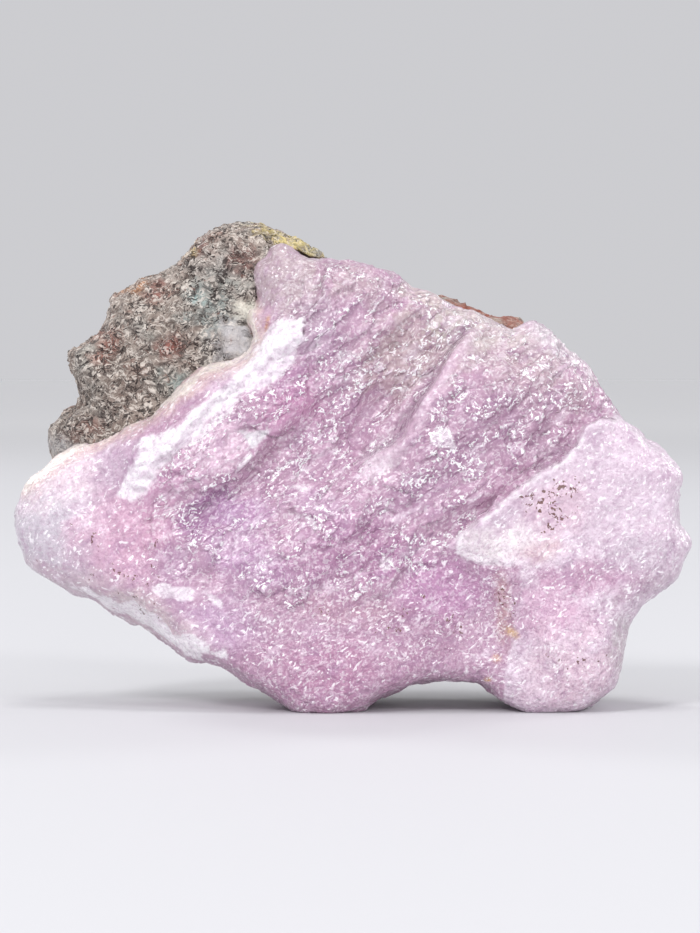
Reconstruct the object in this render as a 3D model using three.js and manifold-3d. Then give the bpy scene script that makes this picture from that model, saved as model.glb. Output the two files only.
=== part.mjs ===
// Aragonite on matrix: a lilac mass of fused aragonite crystals on the grey-brown rock it grew on.
// Millimetres. +X is right, +Y goes away from the display face and +Z is up. The stone stands on z = 0.
// Each solid is a closed field, negative inside: it is netted coarsely, and the net is then split
// where the surface curves most, so ledges and crests get the small triangles.
import * as THREE from 'three';
import { ImprovedNoise } from 'three/addons/math/ImprovedNoise.js';
import { mergeVertices } from 'three/addons/utils/BufferGeometryUtils.js';
import Module from 'manifold-3d';

// Driving dimensions.
const FACE_PROUD = 14.5; // how far the aragonite's face stands in front of y = 0
const FACE_BELLY = 4; // extra thickness in the middle of the face
const FACE_HALF_WIDTH = 60;
const FACE_LEAN = 0.15; // the face leans back by this much for each millimetre of height
const LEAN_PIVOT_Z = 30;
const TIP_SETBACK = { depth: 4.5, whole: -60, gone: -28 }; // the left tip lies further back
const EDGE_ROUNDING = 6.5; // how softly the face passes into its side walls
const TIP_ROUNDING = 10;
const ROCKWARD_ROUNDING = 3; // more of it along the upper left, where the rock shows
const JOINT_ROUNDING = 1.2;
const RIM_Y = -5; // the aragonite's outline is widest here, and draws in behind it
const ROCKWARD_RIM_Y = 1;
const UNDERCUT = { slope: 0.12, curve: 0.02 };
const CONTACT = { y: 4, lean: 0.03, leanPivotZ: 40, rightLobe: 2.5 }; // where it meets the rock
const ROCK_FRONT_Y = -5; // the rock's own face, where it shows beside the aragonite
const ROCK_FRONT_SLOPE = { slope: 0.1, fromX: -30 }; // it falls back further left
const ROCK_BACK_Y = 23; // deepest part of the rock
const ROCK_INSET = 0.6; // makes up for the lumps that stand outside the outline
const ROCK_TAPER = { front: 0.02, back: 0.01 };
const ROCK_ROUNDING = { front: 8, back: 3, breaks: 2.5 };
const JOINT_GAP = 0.3; // the two solids stop this far short of each other
const FOOT_CUT_Z = 0; // the feet are worn flat here

// Surface waves: size is the wavelength, or along and across the crystals' direction.
const FACE_GRAIN = [
  { along: 18, across: 8, height: 0.9, seed: 3.7 },
  { along: 9, across: 4.4, height: 0.5, seed: 9.1 },
];
const SKIN_LUMPS = { size: 9, height: 0.7, seed: 5.3 };
const WALL_LUMPS = { size: 8, height: 0.8, seed: 2.2 };
const CONTACT_LUMPS = { size: 24, height: 1.6, seed: 1.7 };
const ROCK_FRONT_LUMPS = { size: 17, height: 2.4, seed: 6.6 };
const ROCK_LUMPS = [
  { size: 11, height: 1.9, seed: 4.1 },
  { size: 5.5, height: 1.1, seed: 7.9 },
];
const FIBRE_ANGLE = THREE.MathUtils.degToRad(38); // the crystals lean to the upper right

// How the solids are meshed.
const ROOM = new THREE.Box3(new THREE.Vector3(-68, -34, -12), new THREE.Vector3(68, 36, 96));
const NET_CELL = 4.4;
const TABLE_CELL = 0.5;
const ARAGONITE_TRIANGLES = 6000;
const MATRIX_TRIANGLES = 3300;
const SPLIT_SHARE = 0.22; // part of the edges that one round of splitting may split
const LENGTH_SHARE = 0.004; // how much a long edge counts beside its distance from the surface
const HIDDEN_SHARE = 0.03; // how much a place counts where one solid hides the other
const FLIP_LENGTH_SHARE = 0.05;
const FLIP_FLATNESS = 0.3; // least cosine of the bend that a turned edge may make
const SLOPE_PROBE = 0.2;
const LEAST_SLOPE = 0.2;
const LONGEST_STEP = 1.2;
const SLIVER = 0.04; // edges that a cut leaves shorter than this are closed up

// Outlines in the front view, as [x, z].
const ARAGONITE_OUTLINE = [
  [-53.8, 43.9], [-48.7, 46.7], [-43.2, 48.5], [-38.4, 51], [-35.2, 52.2], [-32.5, 55],
  [-28.1, 58.6], [-22.6, 61.6], [-18.5, 62.5], [-17.1, 66], [-18.9, 69.2], [-19.1, 70.6],
  [-16.6, 71.3], [-17.1, 74.7], [-17.3, 78.1], [-14.6, 80.2], [-13.7, 82.7], [-12.3, 83.6],
  [-9, 80.7], [-3.5, 79], [0.1, 79.1], [4.2, 78.3], [8.6, 76.1], [10.9, 74.2], [14.1, 74],
  [18.5, 71], [23, 69.6], [27.4, 67.1], [29.5, 66.7], [32.3, 68.3], [35.9, 66.6], [40.3, 62.3],
  [43.2, 60.2], [44.6, 56.8], [48.3, 51.5], [52, 48.1], [57, 44], [59.3, 40.5], [58.8, 38.9],
  [58.4, 32.5], [60.2, 29.2], [58.9, 25.3], [57, 22.1], [51.7, 18.7], [49.9, 16.9], [48.7, 14.4],
  [48.5, 10.5], [47.2, 5.2], [43, 1.5], [40.3, -0.2], [38, -0.7], [34.7, -1], [31.8, -0.8],
  [28.8, 0.6], [26.5, 1.7], [24.2, 4.2], [21.7, 5.1], [13.2, 5.1], [9.3, 3.6], [5.9, 2.6],
  [2, 0.4], [-2.2, -0.7], [-4.9, -1], [-9, -0.4], [-14.6, 3.3], [-20.3, 6.8], [-22.6, 7.9],
  [-26.5, 7.9], [-29.7, 9], [-32.5, 11.8], [-38.4, 15.2], [-43.5, 17.1], [-47.9, 19.6],
  [-53.1, 21.2], [-57.2, 24.7], [-59.8, 30.4], [-60.2, 33.4], [-59.6, 36.2], [-58.4, 38.9],
  [-55.4, 42.3],
];
const MATRIX_OUTLINE = [
  [-53.8, 43], [-54.9, 46], [-54.9, 47.8], [-54, 50.1], [-52.2, 52.2], [-49, 54.2],
  [-49.2, 55.9], [-50.6, 60.2], [-51, 62.3], [-50.1, 63.7], [-47.1, 65], [-44.4, 68.3],
  [-43.2, 70.8], [-43.3, 72.2], [-42.6, 73.1], [-40.3, 74.2], [-38.4, 76], [-33.6, 77.9],
  [-30.9, 79.5], [-28.1, 82.9], [-24.9, 85.7], [-22.6, 86.4], [-20.1, 86.4], [-18.2, 85.9],
  [-14.6, 86.2], [-11.8, 85.2], [-6.8, 82.5], [-4.7, 81.1], [-2.5, 78], [4, 76.5], [10, 72.8],
  [15.6, 72.4], [19.1, 72.1], [21.9, 70.8], [24.5, 69.9], [27.2, 68.3], [28.6, 68.5],
  [30.4, 68.9], [32.3, 68.5], [36, 64.5], [40, 59], [42.5, 54], [47, 48.5], [53, 42.5],
  [55.3, 38], [54.8, 32], [55.8, 28], [53, 23], [48, 19], [45.3, 14], [45, 9], [42.5, 3],
  [39, -0.8], [33, -1.2], [28.5, 3], [23, 8], [13, 8.5], [7, 6], [1, -0.8], [-8, -1.2],
  [-13, 4], [-22, 10.5], [-28, 12.5], [-33, 16.5], [-42, 20.5], [-50, 24.5], [-55, 29],
  [-56.5, 34], [-55.5, 39],
];

// Steps in the display face. On one side of its line (side 1 is the left, looking along the points)
// the ground stands proud by height and slopes back to nothing over reach. riser is the width of the
// step itself. Each fade is a pair of places: the step is whole at the first and gone at the second.
const STEPS = {
  ledge: {
    line: [[57, 53], [50, 51.8], [44.2, 51.3], [41.2, 49.9], [40, 46.7], [37.1, 44], [33.6, 42.1],
      [29.7, 39.3], [25.1, 35.5], [20.6, 32], [15, 27.5]],
    side: 1, height: 4.4, riser: 3, reach: 55, fades: [[[24, 33], [15, 27]]],
  },
  crest: {
    line: [[23.8, 68.7], [20.8, 66.2], [18.5, 63.4], [16.4, 59.8], [14.4, 56.6], [11.6, 52.4],
      [9.5, 48.5], [7.4, 46.5], [4.2, 44.8], [1, 43.4]],
    side: 1, height: 4, riser: 3.6, reach: 26,
    fades: [[[11, 51], [1, 43.5]], [[19, 64], [23, 68.5]]],
  },
  shelf: {
    line: [[-1, 57.5], [-5.8, 54], [-10.7, 49.2], [-15.2, 45.1], [-18.7, 41], [-22.8, 38],
      [-27.6, 35.7], [-30.2, 31.8]],
    side: -1, height: 3.2, riser: 3.4, reach: 13,
    fades: [[[-9, 51], [-1, 57.5]], [[-23, 38], [-30, 32]]],
  },
  scar: {
    line: [[-9, 65.5], [-13, 62], [-19.5, 57.6], [-25.7, 52.2], [-30.6, 46.7], [-35, 41.6],
      [-38.4, 36.8]],
    side: -1, height: 2.4, riser: 2.6, reach: 8,
    fades: [[[-14, 62], [-8, 66]], [[-33, 43], [-38.4, 37]]],
  },
  shoulder: {
    line: [[-3, 82], [-4, 77.5], [-4.9, 73.5], [-6.8, 70.3], [-9.5, 68.4], [-12.5, 67.3],
      [-16, 64.5]],
    side: 1, height: 2.6, riser: 2.8, reach: 14, fades: [[[-9.5, 68.4], [-15, 65]]],
  },
};
// Hollows in the display face: troughs with round ends, of this depth.
const HOLLOWS = [
  { from: [-26, 35], to: [4, 54], radius: 6.5, height: 2.6 },
  { from: [4, 48.5], to: [15, 66], radius: 5.5, height: 2 },
  { from: [-31, 50], to: [-44, 38], radius: 5, height: 0.8 },
  { from: [24, 14], to: [20, 24], radius: 5, height: 1.2 },
];
// Swellings of the face, as the hollows but proud.
const SWELLS = [
  { from: [-12, 26], to: [8, 34], radius: 10, height: 1.8 },
  { from: [22, 52], to: [34, 58], radius: 8, height: 1.4 },
  { from: [-8, 10], to: [4, 9], radius: 8, height: 1.2 },
  { from: [36, 9], to: [40, 9], radius: 8, height: 1.6 },
];
// Below this line the face rolls away towards the lower left edge.
const BEVEL = {
  line: [[-56, 25.5], [-48.8, 22.4], [-43.5, 21.5], [-38.2, 21.2], [-33.8, 19.6], [-30.2, 15.9],
    [-25.8, 12.3], [-22.2, 9.7], [-17, 6]],
  slope: 1.1,
  fades: [[[-22, 10], [-16, 5]], [[-50, 23], [-57, 26]]],
};
// The freshly broken, glassy middle of the face, and how softly it passes into the smooth skin.
const BROKEN_ZONE = [
  [-38, 38], [-30, 50], [-17, 60], [-12, 72], [-6, 80], [6, 79], [16, 75], [27, 70], [36, 68],
  [47, 54], [41, 49], [38, 44.5], [29, 38], [22, 32.5], [18, 27], [8, 20], [-8, 18], [-24, 21],
  [-35, 29],
];
const BROKEN_EDGE = 5;
// The crease between the rock's low left knob and the rest of it.
const ROCK_CREASE = [[-50, 54], [-46, 53.5], [-42.5, 53.2], [-38, 52.6]];
const ROCK_CREASE_DEPTH = 1.6;
const ROCK_CREASE_WIDTH = 1.8;
// Broken faces of the rock's back: y = at + slopeX * x + slopeZ * z, and the nearest one counts.
const ROCK_BREAKS = [
  { at: 22.5, slopeX: 0.02, slopeZ: 0.02 },
  { at: 36.5, slopeX: 0.12, slopeZ: -0.26 },
  { at: 31, slopeX: 0.42, slopeZ: 0.03 },
  { at: 33, slopeX: -0.5, slopeZ: 0.06 },
  { at: 15.5, slopeX: 0.02, slopeZ: 0.42 },
];

for (const step of Object.values(STEPS)) step.line = smoothLine(step.line, false);

const noise = new ImprovedNoise();
const { clamp, lerp, smoothstep } = THREE.MathUtils;

// Largest of two distances, rounded where they meet.
function roundMax(a, b, radius) {
  const near = Math.max(radius - Math.abs(a - b), 0) / radius;
  return Math.max(a, b) + near * near * radius * 0.25;
}

function lumps({ size, height, seed }, x, y, z) {
  return height * noise.noise(x / size + seed, y / size - seed, z / size + 2 * seed);
}

// Sharp-topped ridges along the crystals' own direction.
function grain({ along, across, height, seed }, x, z) {
  const u = x * Math.cos(FIBRE_ANGLE) + z * Math.sin(FIBRE_ANGLE);
  const v = z * Math.cos(FIBRE_ANGLE) - x * Math.sin(FIBRE_ANGLE);
  return height * (1 - 3 * Math.abs(noise.noise(u / along + seed, v / across, seed)));
}

// A function of (x, z) read from a fine table of its own values, because it is asked for very often.
function tabulated(f) {
  const columns = Math.round((ROOM.max.x - ROOM.min.x) / TABLE_CELL) + 2;
  const rows = Math.round((ROOM.max.z - ROOM.min.z) / TABLE_CELL) + 2;
  const table = new Float64Array(columns * rows);
  for (let row = 0; row < rows; row++)
    for (let column = 0; column < columns; column++)
      table[row * columns + column] = f(ROOM.min.x + column * TABLE_CELL, ROOM.min.z + row * TABLE_CELL);
  return (x, z) => {
    const u = clamp((x - ROOM.min.x) / TABLE_CELL, 0, columns - 1.001);
    const v = clamp((z - ROOM.min.z) / TABLE_CELL, 0, rows - 1.001);
    const corner = Math.floor(v) * columns + Math.floor(u);
    const low = lerp(table[corner], table[corner + 1], u % 1);
    const high = lerp(table[corner + columns], table[corner + columns + 1], u % 1);
    return lerp(low, high, v % 1);
  };
}

// A smooth curve through points in the front view, as more [x, z] points.
function smoothLine(points, closed) {
  const corners = points.map(([x, z]) => new THREE.Vector3(x, 0, z));
  const curve = new THREE.CatmullRomCurve3(corners, closed, 'centripetal');
  const line = curve.getPoints(points.length * 3).map((p) => [p.x, p.z]);
  return closed ? line.slice(0, -1) : line;
}

// A place's distance from a line of points, and the side it lies on (1 is left).
function fromLine(line, x, z) {
  let distance = Infinity;
  let side = 1;
  for (let i = 0; i < line.length - 1; i++) {
    const [ax, az] = line[i];
    const dx = line[i + 1][0] - ax;
    const dz = line[i + 1][1] - az;
    const t = clamp(((x - ax) * dx + (z - az) * dz) / (dx * dx + dz * dz), 0, 1);
    const next = Math.hypot(x - ax - t * dx, z - az - t * dz);
    if (next >= distance) continue;
    distance = next;
    side = Math.sign(dx * (z - az) - dz * (x - ax)) || 1;
  }
  return { distance, side };
}

// 1 before the first place of each pair, 0 past the second one.
function fadeAt(fades, x, z) {
  return fades.reduce((share, [[ax, az], [bx, bz]]) => {
    const along = ((x - ax) * (bx - ax) + (z - az) * (bz - az)) / ((bx - ax) ** 2 + (bz - az) ** 2);
    return share * (1 - smoothstep(along, 0, 1));
  }, 1);
}

// Distance to a polygon in the front view, negative inside.
function fromOutline(polygon, x, z) {
  let nearest = Infinity;
  let inside = false;
  for (let i = 0, j = polygon.length - 1; i < polygon.length; j = i++) {
    const [ax, az] = polygon[j];
    const [bx, bz] = polygon[i];
    const dx = bx - ax;
    const dz = bz - az;
    const t = clamp(((x - ax) * dx + (z - az) * dz) / (dx * dx + dz * dz), 0, 1);
    nearest = Math.min(nearest, (x - ax - t * dx) ** 2 + (z - az - t * dz) ** 2);
    if (az > z !== bz > z && x < ax + (dx * (z - az)) / dz) inside = !inside;
  }
  return inside ? -Math.sqrt(nearest) : Math.sqrt(nearest);
}

function wallOf(outline) {
  const polygon = smoothLine(outline, true);
  return (x, z) => fromOutline(polygon, x, z);
}

function stepHeight({ line, side, height, riser, reach, fades }, x, z) {
  const place = fromLine(line, x, z);
  const over = place.distance * place.side * side;
  const rise = smoothstep(over, -riser / 2, riser / 2);
  const slope = 1 - clamp(over / reach, 0, 1);
  return height * rise * slope * fadeAt(fades, x, z);
}

function bevelDepth({ line, slope, fades }, x, z) {
  const { distance, side } = fromLine(line, x, z);
  return side < 0 ? slope * distance * fadeAt(fades, x, z) : 0;
}

function moundHeight({ from, to, radius, height }, x, z) {
  const { distance } = fromLine([from, to], x, z);
  return height * Math.exp(-((distance / radius) ** 2));
}

// How far the aragonite's face stands in front of y = 0.
function faceProud(x, z) {
  let proud = FACE_PROUD + FACE_BELLY * (1 - (x / FACE_HALF_WIDTH) ** 2);
  proud -= FACE_LEAN * (z - LEAN_PIVOT_Z);
  proud -= TIP_SETBACK.depth * (1 - smoothstep(x, TIP_SETBACK.whole, TIP_SETBACK.gone));
  for (const step of Object.values(STEPS)) proud += stepHeight(step, x, z);
  for (const hollow of HOLLOWS) proud -= moundHeight(hollow, x, z);
  for (const swell of SWELLS) proud += moundHeight(swell, x, z);
  proud -= bevelDepth(BEVEL, x, z);
  const broken = smoothstep(-fromOutline(BROKEN_ZONE, x, z), 0, BROKEN_EDGE);
  const ridges = FACE_GRAIN.reduce((height, wave) => height + grain(wave, x, z), 0);
  return proud + lerp(lumps(SKIN_LUMPS, x, 0, z), ridges, broken);
}

// The aragonite's own back, which is also the rock's front where the two meet.
function contactDepth(x, z) {
  const lean = CONTACT.lean * (z - CONTACT.leanPivotZ);
  return CONTACT.y + lean + lumps(CONTACT_LUMPS, x, 0, z) - CONTACT.rightLobe * smoothstep(x, 40, 60);
}

// The rock's broken back: the nearest of its planes counts, with worn edges between them.
function rockBack(x, z) {
  return ROCK_BREAKS.reduce((depth, { at, slopeX, slopeZ }) => {
    const plane = at + slopeX * x + slopeZ * z;
    return -roundMax(-depth, -plane, ROCK_ROUNDING.breaks);
  }, ROCK_BACK_Y);
}

const aragoniteWall = tabulated(wallOf(ARAGONITE_OUTLINE));
const matrixWall = tabulated(wallOf(MATRIX_OUTLINE));
const faceTable = tabulated(faceProud);
const contactTable = tabulated(contactDepth);
const backTable = tabulated(rockBack);
const creaseTable = tabulated((x, z) => fromLine(ROCK_CREASE, x, z).distance);

function aragoniteField(x, y, z) {
  // Along the upper left, where the rock shows, the face rolls over towards the joint more slowly.
  const rockward = smoothstep(-x, 0, 30) * smoothstep(z, 44, 56);
  const behindRim = Math.max(0, y - lerp(RIM_Y, ROCKWARD_RIM_Y, rockward));
  const undercut = UNDERCUT.slope * behindRim + UNDERCUT.curve * behindRim ** 2;
  const rough = lumps(WALL_LUMPS, x, y, z) * smoothstep(y, RIM_Y - 1, 0);
  const rounding = lerp(EDGE_ROUNDING, TIP_ROUNDING, smoothstep(-x, 20, 52)) + ROCKWARD_ROUNDING * rockward;
  const shell = roundMax(aragoniteWall(x, z) + undercut + rough, -y - faceTable(x, z), rounding);
  return roundMax(shell, y - contactTable(x, z), JOINT_ROUNDING);
}

function matrixField(x, y, z) {
  const fromJoint = y - CONTACT.y;
  const taper = (fromJoint > 0 ? ROCK_TAPER.back : ROCK_TAPER.front) * fromJoint ** 2;
  const crease = ROCK_CREASE_DEPTH * Math.exp(-((creaseTable(x, z) / ROCK_CREASE_WIDTH) ** 2));
  const fallBack = ROCK_FRONT_SLOPE.slope * Math.max(0, ROCK_FRONT_SLOPE.fromX - x);
  const front = ROCK_FRONT_Y + fallBack + lumps(ROCK_FRONT_LUMPS, x, 0, z) + crease;
  const wall = roundMax(matrixWall(x, z) + ROCK_INSET + taper, front - y, ROCK_ROUNDING.front);
  const shell = roundMax(wall, y - backTable(x, z), ROCK_ROUNDING.back);
  const rough = ROCK_LUMPS.reduce((height, wave) => height + lumps(wave, x, y, z), 0);
  return shell + rough * smoothstep(Math.abs(fromJoint) - matrixWall(x, z), 0.5, 4);
}

// Moves a point down the field's slope onto its surface.
function settle(field, p, turns) {
  const h = SLOPE_PROBE;
  for (let i = 0; i < turns; i++) {
    const value = field(p.x, p.y, p.z);
    const slope = new THREE.Vector3(
      field(p.x + h, p.y, p.z) - field(p.x - h, p.y, p.z),
      field(p.x, p.y + h, p.z) - field(p.x, p.y - h, p.z),
      field(p.x, p.y, p.z + h) - field(p.x, p.y, p.z - h),
    ).divideScalar(2 * h);
    const step = value / Math.max(slope.lengthSq(), LEAST_SLOPE);
    p.addScaledVector(slope, -clamp(step, -LONGEST_STEP, LONGEST_STEP));
  }
  return p;
}

// Fills in grid corners that would touch only across a square's diagonal, where a net would pinch.
function fillPinches(values, [nx, ny, nz], at) {
  let pinched = false;
  for (let k = 0; k < nz - 1; k++)
    for (let j = 0; j < ny - 1; j++)
      for (let i = 0; i < nx - 1; i++)
        for (let axis = 0; axis < 3; axis++) {
          const square = [[0, 0], [1, 0], [1, 1], [0, 1]].map(([u, v]) => {
            const corner = [i, j, k];
            corner[(axis + 1) % 3] += u;
            corner[(axis + 2) % 3] += v;
            return at(...corner);
          });
          const [a, b, c, d] = square.map((index) => values[index] < 0);
          if (a !== c || b !== d || a === b) continue;
          for (const index of square) values[index] = Math.min(values[index], -1e-3);
          pinched = true;
        }
  if (pinched) fillPinches(values, [nx, ny, nz], at);
}

// A closed net over the field: one point for each cell that the surface crosses.
function surfaceNet(field, box, cell) {
  const size = box.getSize(new THREE.Vector3()).divideScalar(cell).ceil();
  const [nx, ny, nz] = [size.x + 1, size.y + 1, size.z + 1];
  const at = (i, j, k) => (k * ny + j) * nx + i;
  const place = (i, j, k) => new THREE.Vector3(i, j, k).multiplyScalar(cell).add(box.min);
  const values = new Float64Array(nx * ny * nz);
  for (let k = 0; k < nz; k++)
    for (let j = 0; j < ny; j++)
      for (let i = 0; i < nx; i++) values[at(i, j, k)] = field(...place(i, j, k).toArray());
  fillPinches(values, [nx, ny, nz], at);
  const points = [];
  const pointOf = new Map();
  const cellPoint = (i, j, k) => {
    const key = at(i, j, k);
    if (!pointOf.has(key)) {
      const middle = new THREE.Vector3();
      let crossings = 0;
      for (let axis = 0; axis < 3; axis++)
        for (let corner = 0; corner < 4; corner++) {
          const a = [i, j, k];
          a[(axis + 1) % 3] += corner & 1;
          a[(axis + 2) % 3] += corner >> 1;
          const b = [...a];
          b[axis] += 1;
          const va = values[at(...a)];
          const vb = values[at(...b)];
          if (va < 0 === vb < 0) continue;
          middle.add(place(...a).lerp(place(...b), va / (va - vb)));
          crossings++;
        }
      pointOf.set(key, points.length);
      points.push(middle.divideScalar(crossings));
    }
    return pointOf.get(key);
  };
  const triangles = [];
  for (let k = 1; k < nz - 1; k++)
    for (let j = 1; j < ny - 1; j++)
      for (let i = 1; i < nx - 1; i++)
        for (let axis = 0; axis < 3; axis++) {
          const b = [i, j, k];
          b[axis] += 1;
          const inA = values[at(i, j, k)] < 0;
          if (inA === values[at(...b)] < 0) continue;
          const corners = [[0, 0], [-1, 0], [-1, -1], [0, -1]].map(([u, v]) => {
            const c = [i, j, k];
            c[(axis + 1) % 3] += u;
            c[(axis + 2) % 3] += v;
            return cellPoint(...c);
          });
          if (!inA) corners.reverse();
          triangles.push([corners[0], corners[1], corners[2]], [corners[0], corners[2], corners[3]]);
        }
  return { points, triangles };
}

// Slides each point towards its neighbours' middle and back onto the surface.
function relax({ points, triangles }, field, turns) {
  for (let turn = 0; turn < turns; turn++) {
    const sums = points.map(() => ({ sum: new THREE.Vector3(), count: 0 }));
    for (const t of triangles)
      for (let c = 0; c < 3; c++) {
        sums[t[c]].sum.add(points[t[(c + 1) % 3]]);
        sums[t[c]].count++;
      }
    points.forEach((p, i) => {
      p.lerp(sums[i].sum.divideScalar(sums[i].count), 0.4);
      settle(field, p, 2);
    });
  }
}

function edgeKey(a, b) {
  return Math.min(a, b) * 1e6 + Math.max(a, b);
}

// Splits the edges whose middles lie furthest from the surface, until the budget is reached.
// seen weighs a place: what faces the other solid needs few triangles.
function splitWorstEdges(mesh, field, seen, budget) {
  const { points } = mesh;
  const edges = new Map();
  for (const t of mesh.triangles)
    for (let c = 0; c < 3; c++) {
      const a = t[c];
      const b = t[(c + 1) % 3];
      const key = edgeKey(a, b);
      if (edges.has(key)) continue;
      const middle = points[a].clone().lerp(points[b], 0.5);
      const length = points[a].distanceTo(points[b]);
      const settled = settle(field, middle.clone(), 3);
      const miss = settled.distanceTo(middle) * length + LENGTH_SHARE * length ** 3;
      edges.set(key, { key, settled, score: miss * seen(middle) });
    }
  const room = Math.floor((budget - mesh.triangles.length) / 2);
  const share = Math.min(room, Math.ceil(edges.size * SPLIT_SHARE));
  const worst = [...edges.values()].sort((a, b) => b.score - a.score).slice(0, share);
  const middles = new Map();
  for (const edge of worst) {
    middles.set(edge.key, points.length);
    points.push(edge.settled);
  }
  const triangles = [];
  for (const t of mesh.triangles) {
    const mid = [0, 1, 2].map((c) => middles.get(edgeKey(t[c], t[(c + 1) % 3])));
    triangles.push(...splitTriangle(points, t, mid));
  }
  return { points, triangles };
}

// A triangle's share of the split: mid holds the new point on each of its edges, if any.
function splitTriangle(points, t, mid) {
  const count = mid.filter((m) => m !== undefined).length;
  if (count === 0) return [t];
  if (count === 3) return [[t[0], mid[0], mid[2]], [mid[0], t[1], mid[1]], [mid[2], mid[1], t[2]], mid];
  const first = mid.findIndex((m) => (m !== undefined) === (count === 1));
  const [a, b, d] = [t[first], t[(first + 1) % 3], t[(first + 2) % 3]];
  if (count === 1) return [[a, mid[first], d], [mid[first], b, d]];
  const right = mid[(first + 1) % 3];
  const left = mid[(first + 2) % 3];
  const rightIsNear = points[a].distanceTo(points[right]) < points[b].distanceTo(points[left]);
  const quad = rightIsNear ? [[a, b, right], [a, right, left]] : [[a, b, left], [b, right, left]];
  return [[right, d, left], ...quad];
}

// Turns the edge between two triangles the other way where its middle then lies nearer the surface.
function flipEdges({ points, triangles }, field) {
  const owners = new Map();
  triangles.forEach((t, index) => {
    for (let c = 0; c < 3; c++) {
      const key = edgeKey(t[c], t[(c + 1) % 3]);
      if (!owners.has(key)) owners.set(key, []);
      owners.get(key).push({ index, a: t[c], b: t[(c + 1) % 3], far: t[(c + 2) % 3] });
    }
  });
  const missOf = (a, b) => {
    const middle = points[a].clone().lerp(points[b], 0.5);
    const length = points[a].distanceTo(points[b]);
    return Math.abs(field(middle.x, middle.y, middle.z)) + FLIP_LENGTH_SHARE * length;
  };
  const normalOf = (a, b, c) =>
    new THREE.Triangle(points[a], points[b], points[c]).getNormal(new THREE.Vector3());
  const touched = new Set();
  for (const pair of owners.values()) {
    const [{ index, a, b, far: c }, { index: other, far: d }] = pair;
    if (touched.has(index) || touched.has(other) || owners.has(edgeKey(c, d))) continue;
    if (missOf(c, d) >= missOf(a, b)) continue;
    const normals = [normalOf(a, b, c), normalOf(b, a, d), normalOf(a, d, c), normalOf(d, b, c)];
    const bends = [[2, 3], [2, 0], [3, 1]].map(([i, j]) => normals[i].dot(normals[j]));
    if (Math.min(...bends) < FLIP_FLATNESS) continue;
    triangles[index] = [a, d, c];
    triangles[other] = [d, b, c];
    owners.set(edgeKey(c, d), pair);
    touched.add(index).add(other);
  }
}

function meshField(field, seen, budget) {
  let mesh = surfaceNet(field, ROOM, NET_CELL);
  relax(mesh, field, 3);
  while (budget - mesh.triangles.length > 20) {
    mesh = splitWorstEdges(mesh, field, seen, budget);
    flipEdges(mesh, field);
    relax(mesh, field, 1);
  }
  flipEdges(mesh, field);
  return mesh;
}

const wasm = await Module();
wasm.setup();

function solidOf(geometry) {
  const bare = geometry.clone();
  bare.deleteAttribute('normal');
  bare.deleteAttribute('uv');
  const merged = mergeVertices(bare);
  return new wasm.Manifold(new wasm.Mesh({
    numProp: 3,
    vertProperties: merged.attributes.position.array,
    triVerts: new Uint32Array(merged.index.array),
  }));
}

function geometryOf(solid) {
  const { vertProperties, triVerts } = solid.getMesh();
  const geometry = new THREE.BufferGeometry();
  geometry.setAttribute('position', new THREE.BufferAttribute(vertProperties, 3));
  geometry.setIndex(new THREE.BufferAttribute(triVerts, 1));
  geometry.computeVertexNormals();
  return geometry;
}

// The mesh as a geometry, with every point moved out along its normal by grow.
function netGeometry({ points, triangles }, grow = 0) {
  const geometry = new THREE.BufferGeometry().setFromPoints(points);
  geometry.setIndex(triangles.flat());
  geometry.computeVertexNormals();
  const { position, normal } = geometry.attributes;
  points.forEach((p, i) => {
    const { x, y, z } = new THREE.Vector3().fromBufferAttribute(normal, i).multiplyScalar(grow).add(p);
    position.setXYZ(i, x, y, z);
  });
  return geometry;
}

const floor = solidOf(new THREE.BoxGeometry(200, 200, 60).translate(0, 0, FOOT_CUT_Z - 30));

// How much a triangle of one solid shows: little where it lies against or inside the other one.
const showsOutside = (other) => (p) => (other(p.x, p.y, p.z) < 1 ? HIDDEN_SHARE : 1);

const aragoniteNet = meshField(aragoniteField, showsOutside(matrixField), ARAGONITE_TRIANGLES);
const matrixNet = meshField(matrixField, showsOutside(aragoniteField), MATRIX_TRIANGLES);

function makeAragonite() {
  const solid = solidOf(netGeometry(aragoniteNet)).subtract(floor).simplify(SLIVER);
  const lilac = new THREE.MeshStandardMaterial({ color: '#c79cc0', roughness: 0.38, metalness: 0 });
  const mesh = new THREE.Mesh(geometryOf(solid), lilac);
  mesh.name = 'aragonite';
  return mesh;
}

function makeMatrix() {
  const crystals = solidOf(netGeometry(aragoniteNet, JOINT_GAP));
  const solid = solidOf(netGeometry(matrixNet)).subtract(floor).subtract(crystals).simplify(SLIVER);
  const greyBrown = new THREE.MeshStandardMaterial({ color: '#7c706a', roughness: 0.9, metalness: 0 });
  const mesh = new THREE.Mesh(geometryOf(solid), greyBrown);
  mesh.name = 'matrix';
  return mesh;
}

const specimen = new THREE.Group();
specimen.add(makeAragonite(), makeMatrix());
const middle = new THREE.Box3().setFromObject(specimen).getCenter(new THREE.Vector3());
specimen.position.set(-middle.x, -middle.y, -FOOT_CUT_Z);

export default specimen;
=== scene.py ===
import math

import bpy
import numpy as np
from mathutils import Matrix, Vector
from mathutils.bvhtree import BVHTree


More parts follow.
